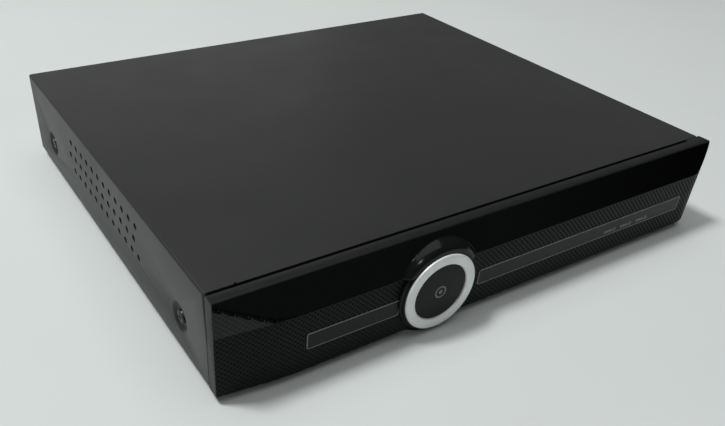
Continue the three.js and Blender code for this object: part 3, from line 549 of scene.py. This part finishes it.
def make_cover():
    section = cover_section(HALF_W, SHEET, COVER_BEND_R)
    cover = slab("cover_shell", section, *COVER.y)
    lean_front(cover)
    rear = COVER.y[1]
    inside_x = (SHEET / 2 - HALF_W, HALF_W - SHEET / 2)
    lip = block("lip", inside_x, (rear - SHEET, rear), (LIP_BOTTOM, COVER.z[1] - SHEET / 2))
    spots = [(side, y, z) for side in (-1, 1) for _, y, z in SIDE_SCREWS]
    metal = joined("metal", [dimple_solid("cup", *spot, SHEET - 0.1) for spot in spots])
    hollow = joined("hollow", [dimple_solid("cup", *spot, 0) for spot in spots])
    through = [(-HALF_W - 2, 8 - HALF_W), (HALF_W - 8, HALF_W + 2)]
    holes = []
    for ends in through:
        for z, last in VENT_ROWS:
            places = [(0, last - i * VENT_PITCH, z) for i in range(VENT_COLUMNS)]
            holes += [drill("x", VENT_R, ends, place) for place in places]
        holes += [drill("x", SCREW_HOLE_R, ends, (0, y, z)) for _, y, z in SIDE_SCREWS]
    for side in ("left", "right"):
        x, _, z = Span(f"rear_screw_{side}").middle
        holes.append(drill("y", SCREW_HOLE_R, (rear - 3, rear + 2), (x, 0, z)))
    combine(cover, "UNION", lip, metal)
    combine(cover, "DIFFERENCE", hollow, joined("holes", holes))
    return piece(cover, "black_powder_coat", replaces=["top_cover"], edge=0.16)


# ---------------------------------------------------------------- bezel


def bezier(a, b, c, t):
    return tuple((1 - t) ** 2 * p + 2 * t * (1 - t) * q + t * t * r for p, q, r in zip(a, b, c))


def bezel_plan(step):
    """Points (x, y) along the lower wall's plan, from the left corner to the right one."""
    left = (-HALF_W, CORNER_Y)
    bend_x = -HALF_W + 0.6 * LEFT_SWEEP
    bend = (bend_x, CORNER_Y + 0.78 * (FACE_Y - CORNER_Y))
    flat = (-HALF_W + LEFT_SWEEP, FACE_Y)
    turn = (HALF_W - RIGHT_SWEEP, FACE_Y)
    right = (HALF_W, CORNER_Y)
    points = [
        (-HALF_W, CORNER_Y + 0.6),
        (-HALF_W + 0.05, CORNER_Y + 0.3),
        (-HALF_W + 0.22, CORNER_Y + 0.07),
    ]
    count = int((bend[0] - left[0]) / step)
    slope = (bend[1] - left[1]) / (bend[0] - left[0])
    points += [(left[0] + i * step + 0.6, left[1] + (i * step + 0.6) * slope) for i in range(count - 1)]
    count = int((flat[0] - bend[0]) / step)
    control = (bend[0] + 6.5, FACE_Y - 0.02)
    points += [bezier(bend, control, flat, i / count) for i in range(count)]
    count = int((turn[0] - flat[0]) / step)
    points += [(flat[0] + i * (turn[0] - flat[0]) / count, FACE_Y) for i in range(count)]
    control = (HALF_W - 2.6, FACE_Y)
    count = 28
    points += [bezier(turn, control, right, i / count) for i in range(count)]
    points += [(HALF_W - 0.12, CORNER_Y + 0.12), (HALF_W, CORNER_Y + 0.6)]
    return points


def facet_y(z):
    return SHOULDER_Y - (TOP - z) * FACET_SLOPE


def wall_y(plan_y, z):
    """The lower wall leans out a little towards the floor."""
    return plan_y + DRAFT * (z - FACET_BOTTOM)


def boundary_z(plan_y):
    """Height at which the wall meets the facet."""
    z = (plan_y - SHOULDER_Y + TOP * FACET_SLOPE - FACET_BOTTOM * DRAFT) / (FACET_SLOPE - DRAFT)
    return min(LIP_Z - 0.05, max(FACET_BOTTOM, z))


def dimple_depth(x, z, boundary):
    wave = math.cos(TAU * x / GRAIN_PITCH) * math.cos(math.pi * z / GRAIN_ROW)
    low = ease(z, BEZEL_BOTTOM + 0.7, BEZEL_BOTTOM + 1.5)
    high = ease(z, boundary - 0.9, boundary - 0.35)
    return GRAIN_DEPTH * ease(wave, 0.0, 0.75) * (low * (1 - high))


def bezel_ring(x, plan_y, boundary):
    """One closed section of the bezel, from the top's rear edge round the front to the inside."""
    back_top = CORNER_BACK if x > GROOVE_END else STRIP_BACK
    recess = GLOSS_T + 0.2 if GLOSS_ENDS[0] < x < GLOSS_ENDS[1] else 0
    shoulder = max(SHOULDER_Y, plan_y)

    def face(z):
        return wall_y(plan_y, z)

    def back(z):
        rise = max(0, z - LEAN_Z) / (TOP - LEAN_Z)
        return BEZEL_BACK + (back_top - BEZEL_BACK) * rise

    ring = [(back_top, TOP - 0.3), (back_top - 0.09, TOP - 0.09), (back_top - 0.3, TOP)]
    ring += [(shoulder + 0.4, TOP), (shoulder + 0.12, TOP - 0.06), (shoulder + 0.02, TOP - 0.2)]
    ring += [(max(facet_y(LIP_Z), plan_y), LIP_Z), (max(facet_y(LIP_Z) + recess, plan_y), LIP_Z)]
    ring += [(max(facet_y(boundary) + recess, plan_y), boundary)]
    ring += [(face(boundary) + 0.16, boundary), (face(boundary) + 0.05, boundary - 0.06)]
    high = boundary - 0.2
    low = BEZEL_BOTTOM + 0.6
    for i in range(WALL_ROWS + 1):
        z = high + (low - high) * i / WALL_ROWS
        ring.append((face(z) + dimple_depth(x, z, boundary), z))
    ring += [(face(low) + 0.18, BEZEL_BOTTOM + 0.17), (face(low) + 0.6, BEZEL_BOTTOM)]
    ring.append((BEZEL_BACK, BEZEL_BOTTOM))
    inside = abs(x) < HALF_W - WALL
    floor, ceiling = BEZEL_BOTTOM + WALL, TOP - WALL
    hollow = [
        (face(floor) + WALL, floor),
        (FACE_Y + WALL + 0.4, FACET_BOTTOM),
        (facet_y(ceiling) + GLOSS_T + WALL, ceiling),
    ]
    ring.append((BEZEL_BACK, floor))
    ring += [(min(y, back(z) - 0.01) if inside else back(z), z) for y, z in hollow]
    ring.append((back(ceiling), ceiling))
    return [(x, y, z) for y, z in ring]


def make_bezel():
    plan = bezel_plan(GRAIN_PITCH / 6)
    rings = [bezel_ring(x, y, boundary_z(y)) for x, y in plan]
    bezel = loft("bezel_shell", rings)
    for look in ("bezel_plastic", "bezel_grain", "bezel_grain_shaded_slope"):
        bezel.data.materials.append(LOOKS[look].material)
    for polygon in bezel.data.polygons:
        centre = polygon.center / MM - Vector((0, FRONT_PLANE, 0))
        below_facet = centre.z < FACET_BOTTOM
        near_facet = centre.y < facet_y(max(centre.z, FACET_BOTTOM)) + 0.45
        on_wall = centre.y < SHOULDER_Y and BEZEL_BOTTOM + 0.3 < centre.z < boundary_z(SHOULDER_Y)
        faces_front = polygon.normal.y < -0.2 and len(polygon.vertices) < 5
        if on_wall and faces_front and (near_facet or below_facet):
            # Wall faces above the facet's bottom take the shaded copy of the grain plastic.
            polygon.material_index = 2 if centre.z > FACET_BOTTOM else 1
    return piece(bezel, None, slot="bezel_plastic", replaces=["front_bezel"], angle=40)


def hood_y(x, z):
    """The gloss surface: the facet, with a rounded hood standing out of it round the emblem's boss."""
    r = math.hypot(x - EMBLEM_X, z - EMBLEM_Z)
    flat = facet_y(z)
    if r < BOSS_R - 0.25:
        return flat + 0.3
    hood = BOSS_FRONT + 0.06 + HOOD_CURVE * max(0, r - HOOD_R) ** 2
    h = max(HOOD_BLEND - abs(flat - hood), 0) / HOOD_BLEND
    return min(flat, hood) - h * h * HOOD_BLEND / 4


def make_gloss():
    hood_reach = 26
    flat_step = 2.5
    columns = []
    for x, y in bezel_plan(0.5):
        if not GLOSS_ENDS[0] + 0.1 < x < GLOSS_ENDS[1] - 0.1:
            continue
        straight = LEFT_SWEEP - HALF_W < x < HALF_W - RIGHT_SWEEP and abs(x - EMBLEM_X) > hood_reach
        if columns and straight and x - columns[-1][0] < flat_step:
            continue
        columns.append((x, y))
    rows = 44
    edge = 0.12
    rings = []
    for x, plan_y in columns:
        low, high = boundary_z(plan_y) + edge, LIP_Z - edge
        ring = []
        for i in range(rows + 1):
            z = low + (high - low) * i / rows
            round_off = edge if i in (0, rows) else 0
            ring.append((x, hood_y(x, z) + round_off, z))
        back = [(x, facet_y(z) + GLOSS_T, z) for z in (high, low)]
        rings.append(ring + back)
    fascia = loft("gloss_shell", rings)
    for look in ("gloss_black", "gloss_hood_lit"):
        fascia.data.materials.append(LOOKS[look].material)
    for polygon in fascia.data.polygons:
        x, y, z = polygon.center / MM - Vector((0, FRONT_PLANE, 0))
        # Hood faces take the lit copy of the gloss, the facet the shaded copy.
        polygon.material_index = 1 if y < facet_y(z) - 0.15 else 0
    return piece(fascia, None, slot="gloss_black", replaces=["gloss_fascia"], angle=50)


def make_emblem():
    centre = (EMBLEM_X, 0, EMBLEM_Z)
    boss = [
        (0, BOSS_FRONT + 0.8), (16.7, BOSS_FRONT + 0.8), (16.9, BOSS_FRONT + 0.1), (17.1, BOSS_FRONT),
        (BOSS_R - 0.12, BOSS_FRONT), (BOSS_R, BOSS_FRONT + 0.15), (BOSS_R + 0.05, BOSS_FRONT + 0.7),
        (BOSS_R + 0.25, BOSS_FRONT + 1.15), (BOSS_R + 0.7, BOSS_FRONT + 1.5),
        (BOSS_R + 0.7, FACE_Y + 2.4), (0, FACE_Y + 2.4),
    ]
    piece(turned("emblem_boss", "y", boss, centre, 160), "bezel_plastic")
    hole = DISC_R + 0.12
    rim = RING_FRONT
    seat = BOSS_FRONT + 0.79
    ring = [
        (hole, rim + 0.75), (hole, rim + 0.5), (hole + 0.16, rim + 0.2), (hole + 0.42, rim + 0.02),
        (hole + 0.6, rim), (RING_R - 0.98, rim), (RING_R - 0.92, rim + 0.1), (RING_R - 0.8, rim + 0.1),
        (RING_R - 0.74, rim + 0.02), (RING_R - 0.45, rim + 0.02), (RING_R - 0.16, rim + 0.2),
        (RING_R, rim + 0.55), (RING_R - 0.05, rim + 0.95), (RING_R - 0.4, seat), (hole, seat),
    ]
    shell = turned("ring_shell", "y", ring, centre, 160)
    piece(shell, "satin_silver", replaces=["emblem_ring"], angle=50)
    front = RING_FRONT + 0.55
    disc = [
        (0, front), (4, front + 0.01), (8, front + 0.04), (DISC_R - 0.3, front + 0.1),
        (DISC_R, front + 0.3), (DISC_R, seat), (0, seat),
    ]
    piece(turned("disc_shell", "y", disc, centre, 128), "emblem_black", replaces=["emblem_disc"])
    # A plain round mark stands in for the name
    mark = [(2.1, front + 0.05), (2.1, front - 0.02), (2.75, front - 0.02), (2.75, front + 0.05)]
    dot = [(0, front + 0.05), (0, front - 0.03), (0.85, front - 0.03), (0.95, front + 0.05)]
    marks = [turned("mark", "y", mark, centre, 48), turned("dot", "y", dot, centre, 32)]
    piece(joined("disc_mark", marks), "mark_grey", slot="emblem_black")


def follow_wall(obj):
    """Sets a plate that was made against y = 0 on the leaning lower wall."""
    for v in obj.data.vertices:
        v.co.y += wall_y(FACE_Y, v.co.z / MM) * MM
    return obj


def make_inlay(node):
    """The smoked plate of a strip, and the thin silver outline round it."""
    span = Span(node)
    (x0, x1), (z0, z1) = span.x, span.z
    rim, proud, corner, round_off, sunk = 0.3, 0.22, 1.1, 0.06, 0.5

    def layers(inset, front):
        low_x, high_x, low_z, high_z = x0 + inset, x1 - inset, z0 + inset, z1 - inset
        outer = rounded(low_x, high_x, low_z, high_z, corner - inset)
        reach = (low_x + round_off, high_x - round_off, low_z + round_off, high_z - round_off)
        face = rounded(*reach, corner - round_off - inset)
        return [(outer, sunk), (outer, front + round_off), (face, front)]

    def rings(outlines):
        return [[(x, y, z) for x, z in outline] for outline, y in outlines]

    plate = loft(f"{node}_plate", rings(layers(rim, 0.03 - proud)))
    piece(follow_wall(plate), "inlay_smoke", replaces=[node])
    inner = rounded(x0 + rim, x1 - rim, z0 + rim, z1 - rim, corner - rim)
    loop = rings(layers(0, -proud) + [(inner, -proud), (inner, sunk)])
    outline = loft(f"{node}_outline", loop, around=True)
    piece(follow_wall(outline), "outline_silver", slot="inlay_smoke")


def make_status_marks():
    """Three small round lights on the strip, each with three plain bars beside it."""
    proud = 0.22
    bar_width, bar_half_height, bar_pitch = 1.3, 0.62, 1.75
    ring = [(0.62, 0), (0.62, -proud), (0.95, -proud), (0.95, 0)]
    marks = []
    for name in ("power", "disk", "network"):
        x, _, z = Span(f"light_pipe_{name}").middle
        marks.append(turned("ring", "y", ring, (x, 0, z), 32))
        marks.append(turned("dot", "y", [(0, 0), (0, -proud), (0.3, -proud), (0.3, 0)], (x, 0, z), 16))
        for i in range(3):
            left = x - 6.6 + i * bar_pitch
            bar = rounded(left, left + bar_width, z - bar_half_height, z + bar_half_height, 0.2, 3)
            marks.append(slab("bar", bar, -proud, 0))
    piece(follow_wall(joined("status_marks", marks)), "mark_grey", slot="inlay_smoke")


# ---------------------------------------------------------------- screws and feet


SCREW_RISE = 1.5


def screw_mesh():
    """A pan-head screw with a cross recess, pointing along +z from its seat at the origin."""
    rise, head_r, shank_r, length = SCREW_RISE, 2.8, 1.5, 5.0
    profile = [
        (0, -length), (shank_r * 0.8, -length), (shank_r, -length + 0.4), (shank_r, 0), (head_r - 0.1, 0),
        (head_r, 0.12), (head_r, rise * 0.5), (head_r * 0.93, rise * 0.78), (head_r * 0.76, rise * 0.93),
        (head_r * 0.5, rise), (0, rise),
    ]
    y = -FRONT_PLANE
    head = turned("screw", "z", profile, (0, y, 0), 40)
    arms = []
    taper = 0.45
    for wide, deep in ((3.3, 0.75), (0.75, 3.3)):
        corners = [(wide / 2 * a, deep / 2 * b) for a, b in ((-1, -1), (1, -1), (1, 1), (-1, 1))]
        top = [(a, b + y, rise + 0.2) for a, b in corners]
        low = [(a * taper, b * taper + y, rise - 0.95) for a, b in corners]
        arms.append(loft("arm", [low, top]))
    combine(head, "DIFFERENCE", *arms)
    mesh = head.data
    bpy.data.objects.remove(head)
    return mesh


def place_screw(mesh, node, direction, seat, look, turn):
    obj = bpy.data.objects.new(f"{node}_head", mesh.copy())
    bpy.context.scene.collection.objects.link(obj)
    aim = Vector(direction).to_track_quat("Z", "Y").to_matrix().to_4x4()
    obj.data.transform(Matrix.Translation(at(*seat)) @ aim @ Matrix.Rotation(turn, 4, "Z"))
    return piece(obj, look, replaces=[node], edge=0.05)


def make_screws():
    mesh = screw_mesh()
    for i, end in enumerate(("front", "rear")):
        for side, name in ((-1, "left"), (1, "right")):
            node = f"side_screw_{end}_{name}"
            span = Span(node)
            outside = span.x[0] if side < 0 else span.x[1]
            seat = (outside - side * SCREW_RISE, span.middle[1], span.middle[2])
            place_screw(mesh, node, (side, 0, 0), seat, "black_screw", 0.35 + i)
    for i, node in enumerate(("rear_screw_left", "rear_screw_right", "ground_screw")):
        span = Span(node)
        seat = (span.middle[0], span.y[1] - SCREW_RISE, span.middle[2])
        look = "nickel" if node == "ground_screw" else "black_screw"
        place_screw(mesh, node, (0, 1, 0), seat, look, 0.5 * i)
    for i in range(1, 5):
        keep_node(f"disk_screw_{i}", "nickel", 0.12)
        keep_node(f"board_screw_{i}", "zinc_steel", 0.12)


def make_feet():
    for node in [n for n in NODES if n.startswith("foot_")]:
        span = Span(node)
        x, y, _ = span.middle
        r = (span.x[1] - span.x[0]) / 2
        top = COVER.z[0] - 0.3
        tip = span.z[1]
        profile = [
            (0, 1.4), (2.2, 1.4), (2.4, 0.25), (2.7, 0), (r - 1.5, 0), (r - 0.9, 0.12), (r - 0.35, 0.5),
            (r, 1.1), (r - 0.15, 2.2), (r - 0.6, top - 0.3), (r - 0.85, top), (2, top), (2, tip - 0.3),
            (1.6, tip), (0, tip),
        ]
        piece(turned(f"{node}_pad", "z", profile, (x, y, 0), 56), "foot_rubber", replaces=[node])


# ---------------------------------------------------------------- kept CAD nodes


def keep_node(node, look=None, edge=0.15):
    """A CAD node that shows as it is, with softened edges and its own material."""
    obj = NODES[node]
    look = look or SLOTS[node]
    obj.data.materials.clear()
    obj.data.materials.append(LOOKS[look].material)
    smooth(obj, 30)
    if edge:
        bevel(obj, edge)
    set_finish(obj, SLOTS[node])


def keep_the_rest():
    special = {"disk_lid": "zinc_steel", "coin_cell": "nickel"}
    for node, obj in NODES.items():
        if not obj.hide_render and not obj.get("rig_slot"):
            edge = 0.2 if node in ("base_tray", "fan_frame") else 0.12
            keep_node(node, special.get(node), edge)


# ---------------------------------------------------------------- connectors


REAR_FACE = Span("base_tray").y[1]
HOUSING_FACE = REAR_FACE - 1.3
BNC_Z = 19.3
VGA_Z = 17.4


def hexagon(x, z, reach, turn=0.0):
    """The six corners of a hex nut or post round (x, z)."""
    angles = [TAU * (i + turn) / 6 for i in range(6)]
    return [(x + reach * math.cos(a), z + reach * math.sin(a)) for a in angles]


def make_bnc(number):
    node = f"bnc_jack_{number}"
    span = Span(node)
    x, z = span.middle[0], BNC_Z
    centre = (x, 0, z)
    tip = span.y[1]
    wall = REAR_FACE
    barrel = [
        (6.2, wall - 5), (6.2, wall + 2.3), (5.9, wall + 2.6), (4.8, wall + 2.75), (4.8, tip - 0.35),
        (4.55, tip), (4.25, tip), (4.1, tip - 0.3), (4.1, tip - 8.5), (3.2, tip - 8.5), (3.2, wall - 5),
    ]
    shell = turned("shell", "y", barrel, centre, 48)
    nut = slab("nut", hexagon(x, z, 7.5, 0.5), wall + 0.3, wall + 2.1)
    pins = [
        (0, z - 5.7), (0.8, z - 5.7), (1, z - 5.5), (1, z + 5.5), (0.8, z + 5.7), (0, z + 5.7),
    ]
    lugs = turned("lugs", "z", pins, (x, tip - 6.2, 0), 20)
    combine(lugs, "DIFFERENCE", drill("y", 4.0, (tip - 8, tip + 1), centre, 40))
    piece(joined(f"bnc_{number}_shell", [shell, nut, lugs]), "nickel", replaces=[node], edge=0.06)
    inner = [
        (0.65, tip - 1.4), (0.95, tip - 1.4), (1.1, tip - 1.9), (1.15, tip - 5), (2.2, tip - 5.2),
        (2.35, tip - 6.5), (3.9, tip - 7), (3.9, tip - 8.4), (0.65, tip - 8.4),
    ]
    piece(turned(f"bnc_{number}_insulator", "y", inner, centre, 40), "dielectric", slot="nickel")
    pin = [(0.34, tip - 1.7), (0.6, tip - 1.7), (0.62, tip - 8), (0.34, tip - 8)]
    piece(turned(f"bnc_{number}_contact", "y", pin, centre, 24), "gold", slot="nickel")
    body = block(f"bnc_{number}_housing", about(x, 14), (span.y[0], HOUSING_FACE), (span.z[0], 27))
    piece(body, "black_plastic", slot="nickel", edge=0.5)


def make_rca(node, look):
    span = Span(node)
    x, _, z = span.middle
    centre = (x, 0, z)
    tip, wall = span.y[1], REAR_FACE
    barrel = [
        (3.85, wall - 2), (3.85, wall + 0.3), (4.2, wall + 0.45), (4.2, tip - 0.3), (3.98, tip),
        (3.62, tip), (3.5, tip - 0.2), (3.5, wall - 2),
    ]
    piece(turned(f"{node}_shell", "y", barrel, centre, 48), "nickel", slot=look, edge=0.04)
    insulator = [(1.62, tip - 1.1), (3.42, tip - 1.1), (3.42, wall - 1.9), (1.62, wall - 1.9)]
    piece(turned(f"{node}_insulator", "y", insulator, centre, 40), look, edge=0.1)
    collar = [
        (4.35, wall - 1.2), (5.3, wall - 1.2), (5.3, wall + 0.7), (5.1, wall + 0.95), (4.35, wall + 0.95),
    ]
    body = block(f"{node}_housing", about(x, 12), (span.y[0], HOUSING_FACE), (z - 5.8, z + 5.8))
    piece(body, "black_plastic", slot=look, replaces=[node], edge=0.4)
    piece(turned(f"{node}_collar", "y", collar, centre, 48), look)


def round_polygon(corners, radius, steps=5):
    """The outline of a convex polygon with round corners."""
    points = []
    count = len(corners)
    for i in range(count):
        before, here, after = (Vector(corners[(i + d) % count]) for d in (-1, 0, 1))
        a, b = (before - here).normalized(), (after - here).normalized()
        reach = radius / math.tan(a.angle(b) / 2)
        start, end = here + a * reach, here + b * reach
        points += [bezier(start, here, end, t / steps) for t in range(steps + 1)]
    return points


VGA_PIN_PITCH = 2.29
VGA_ROWS = ((-1.1, 2.0), (0.55, 0.0), (-1.1, -2.0))


def make_vga():
    span = Span("vga_socket")
    x, z = span.middle[0], VGA_Z
    wall, tip = REAR_FACE, span.y[1]
    back = wall - 1.4
    wide, narrow, half = 8.1, 7.2, 3.9

    def shell(shrink):
        a, b, c = wide - shrink, narrow - shrink, half - shrink
        corners = [(-b, -c), (b, -c), (a, c), (-a, c)]
        return round_polygon([(x + p, z + q) for p, q in corners], 1.6 - shrink * 0.5)

    layers = ((back, 0), (tip - 0.3, 0), (tip, 0.12), (tip, 0.32), (tip - 0.3, 0.45), (back, 0.45))
    rings = [[(p, y, q) for p, q in shell(shrink)] for y, shrink in layers]
    piece(loft("vga_shell", rings, around=True), "nickel", edge=0.05)
    insert = slab("vga_insert", shell(0.75), back, tip - 0.8)
    holes = []
    for shift, dz in VGA_ROWS:
        for i in range(5):
            place = (x + (i - 2) * VGA_PIN_PITCH + shift, 0, z + dz)
            holes.append(drill("y", 0.5, (tip - 3, tip), place, 14))
    combine(insert, "DIFFERENCE", joined("holes", holes))
    piece(insert, "vga_blue", slot="nickel", edge=0.05)
    plate = slab("vga_flange", rounded(x - 15.4, x + 15.4, z - 6.1, z + 6.1, 1), wall - 2.5, HOUSING_FACE)
    body = block("vga_housing", about(x, 30), (span.y[0], wall - 2.6), about(z, 11.6))
    piece(body, "black_plastic", slot="nickel", replaces=["vga_socket"], edge=0.3)
    posts = [plate]
    for dx in (-12.5, 12.5):
        post = slab("post", hexagon(x + dx, z, 2.6), HOUSING_FACE, tip - 0.6)
        bore = drill("y", 1.35, (tip - 4, tip), (x + dx, 0, z), 24)
        posts.append(combine(post, "DIFFERENCE", bore))
    piece(joined("vga_posts", posts), "nickel", edge=0.08)


def make_contacts():
    """Plated strips and tongues inside the HDMI, USB and network sockets."""
    hdmi, usb, rj45 = Span("hdmi_socket"), Span("usb_stack"), Span("rj45_socket")
    strips = []
    (x, _, z), tip = hdmi.middle, hdmi.y[1]
    for i in range(9):
        across = about(x + (i - 4) * 1.1, 0.45)
        strips.append(block("strip", across, (tip - 7, tip - 1.4), (z + 0.8, z + 0.92)))
    x, tip = usb.middle[0], usb.y[1]
    for low in (usb.z[0] + 1.2, usb.z[0] + 9.0):
        for i in range(4):
            across = about(x + (i - 1.5) * 2.4, 1.1)
            strips.append(block("strip", across, (tip - 8, tip - 2.2), (low + 2.1, low + 2.2)))
    x, tip = rj45.middle[0], rj45.y[1]
    low, high = rj45.z[0] + 4.2, rj45.z[0] + 6.2
    spring = [(tip - 9, high + 0.6), (tip - 3.2, low - 0.2), (tip - 3.2, low), (tip - 9, high + 0.9)]
    for i in range(8):
        across = about(x + (i - 3.5) * 1.02, 0.38)
        strips.append(loft("strip", [[(side, y, z) for y, z in spring] for side in across]))
    piece(joined("socket_contacts", strips), "gold", slot="nickel")


def make_connectors():
    for number in (1, 2, 3, 4):
        make_bnc(number)
    make_rca("rca_audio_in", "rca_white")
    make_rca("rca_audio_out", "rca_red")
    make_vga()
    make_contacts()
    for node in ("hdmi_socket", "usb_stack", "rj45_socket"):
        keep_node(node, "nickel", 0.12)
    keep_node("dc_jack", "black_plastic", 0.2)


# ---------------------------------------------------------------- scene


PALE = (0.6, 0.635, 0.622, 1)
FLOOR_COLOR = (0.62, 0.655, 0.642)
# Metres from the middle of the floor where the fade starts and ends
FADE_FROM = 0.75
FADE_TO = 1.9
# Name, place in metres, size in metres and power in watts; each lamp faces the middle of the floor
LIGHTS = (
    ("key", (-0.72, 0.33, 1.86), (0.32, 0.32), 26),
    ("ceiling", (0.0, 0.0, 2.0), (2.2, 2.2), 19),
    ("rear_wall", (0.0, 2.6, 0.75), (3.4, 1.0), 7),
    ("right_wall", (2.2, 1.6, 0.75), (2.4, 1.0), 1.9),
    ("left_wall", (-2.0, 0.6, 1.2), (1.0, 1.0), 1.5),
    ("front_card", (-0.62, -1.25, 1.43), (0.24, 0.24), 2.4),
)


def fade_to_pale(look):
    """Far from the recorder the camera sees the floor run into the pale backdrop."""
    split = look.node("ShaderNodeSeparateXYZ", Vector=look.place)
    squares = [look.math("MULTIPLY", split.outputs[axis], split.outputs[axis]) for axis in "XY"]
    distance = look.math("SQRT", look.math("ADD", *squares))
    ramp = look.node("ShaderNodeMapRange", interpolation_type="SMOOTHSTEP", Value=distance)
    ramp.inputs["From Min"].default_value = FADE_FROM
    ramp.inputs["From Max"].default_value = FADE_TO
    seen = look.node("ShaderNodeLightPath").outputs["Is Camera Ray"]
    pale = look.node("ShaderNodeEmission", Color=PALE)
    mix = look.node("ShaderNodeMixShader")
    look.link(look.math("MULTIPLY", ramp.outputs[0], seen), mix.inputs[0])
    look.link(look.shader.outputs[0], mix.inputs[1])
    look.link(pale.outputs[0], mix.inputs[2])
    look.link(mix.outputs[0], look.tree.nodes["Material Output"].inputs["Surface"])


def make_stage():
    bpy.ops.mesh.primitive_plane_add(size=8)
    floor = bpy.context.object
    floor.name = "floor"
    look = Look("floor", FLOOR_COLOR, 0.9, specular=0.1)
    look.tint(look.noise(120, 3), 0.985, 1.015)
    look.bump(look.noise(1.2, 3), 0.02, 0.1)
    fade_to_pale(look)
    floor.data.materials.append(look.material)


def area_light(name, place, size, power):
    light = bpy.data.lights.new(name, "AREA")
    light.shape = "RECTANGLE"
    light.size, light.size_y = size
    light.energy = power
    obj = bpy.data.objects.new(name, light)
    obj.location = place
    obj.rotation_euler = (-Vector(place)).to_track_quat("-Z", "Y").to_euler()
    bpy.context.scene.collection.objects.link(obj)


def make_world():
    """Almost dark as a light, pale where the camera sees past the floor."""
    world = bpy.data.worlds.new("studio")
    bpy.context.scene.world = world
    world.use_nodes = True
    tree = world.node_tree
    dim = tree.nodes["Background"]
    dim.inputs["Color"].default_value = (0.95, 1, 0.98, 1)
    dim.inputs["Strength"].default_value = 0.02
    pale = tree.nodes.new("ShaderNodeBackground")
    pale.inputs["Color"].default_value = PALE
    path = tree.nodes.new("ShaderNodeLightPath")
    mix = tree.nodes.new("ShaderNodeMixShader")
    tree.links.new(path.outputs["Is Camera Ray"], mix.inputs[0])
    tree.links.new(dim.outputs[0], mix.inputs[1])
    tree.links.new(pale.outputs[0], mix.inputs[2])
    tree.links.new(mix.outputs[0], tree.nodes["World Output"].inputs["Surface"])


# The photo's viewpoint, in millimetres, and its turns in degrees
CAMERA_PLACE = (-203.3, -172.3, 190.4)
CAMERA_YAW = -33.55
CAMERA_DIP = 37.16
CAMERA_ROLL = 3.08


def make_camera():
    camera = bpy.data.cameras.new("camera")
    camera.sensor_width = 36
    camera.lens = 36.19
    camera.shift_x = 0.0707
    camera.shift_y = 0.1029
    camera.clip_start = 0.01
    obj = bpy.data.objects.new("camera", camera)
    place = at(*CAMERA_PLACE)
    yaw, pitch, roll = (math.radians(a) for a in (CAMERA_YAW, 90 - CAMERA_DIP, CAMERA_ROLL))
    turn = Matrix.Rotation(yaw, 4, "Z") @ Matrix.Rotation(pitch, 4, "X") @ Matrix.Rotation(roll, 4, "Z")
    obj.matrix_world = Matrix.Translation(place) @ turn
    bpy.context.scene.collection.objects.link(obj)
    bpy.context.scene.camera = obj


make_cover()
make_bezel()
make_gloss()
make_emblem()
make_inlay("left_inlay")
make_inlay("right_inlay")
make_status_marks()
make_screws()
make_feet()
make_connectors()
keep_the_rest()
make_stage()
make_world()
for light in LIGHTS:
    area_light(*light)
make_camera()
bpy.context.scene.view_settings.view_transform = "Standard"
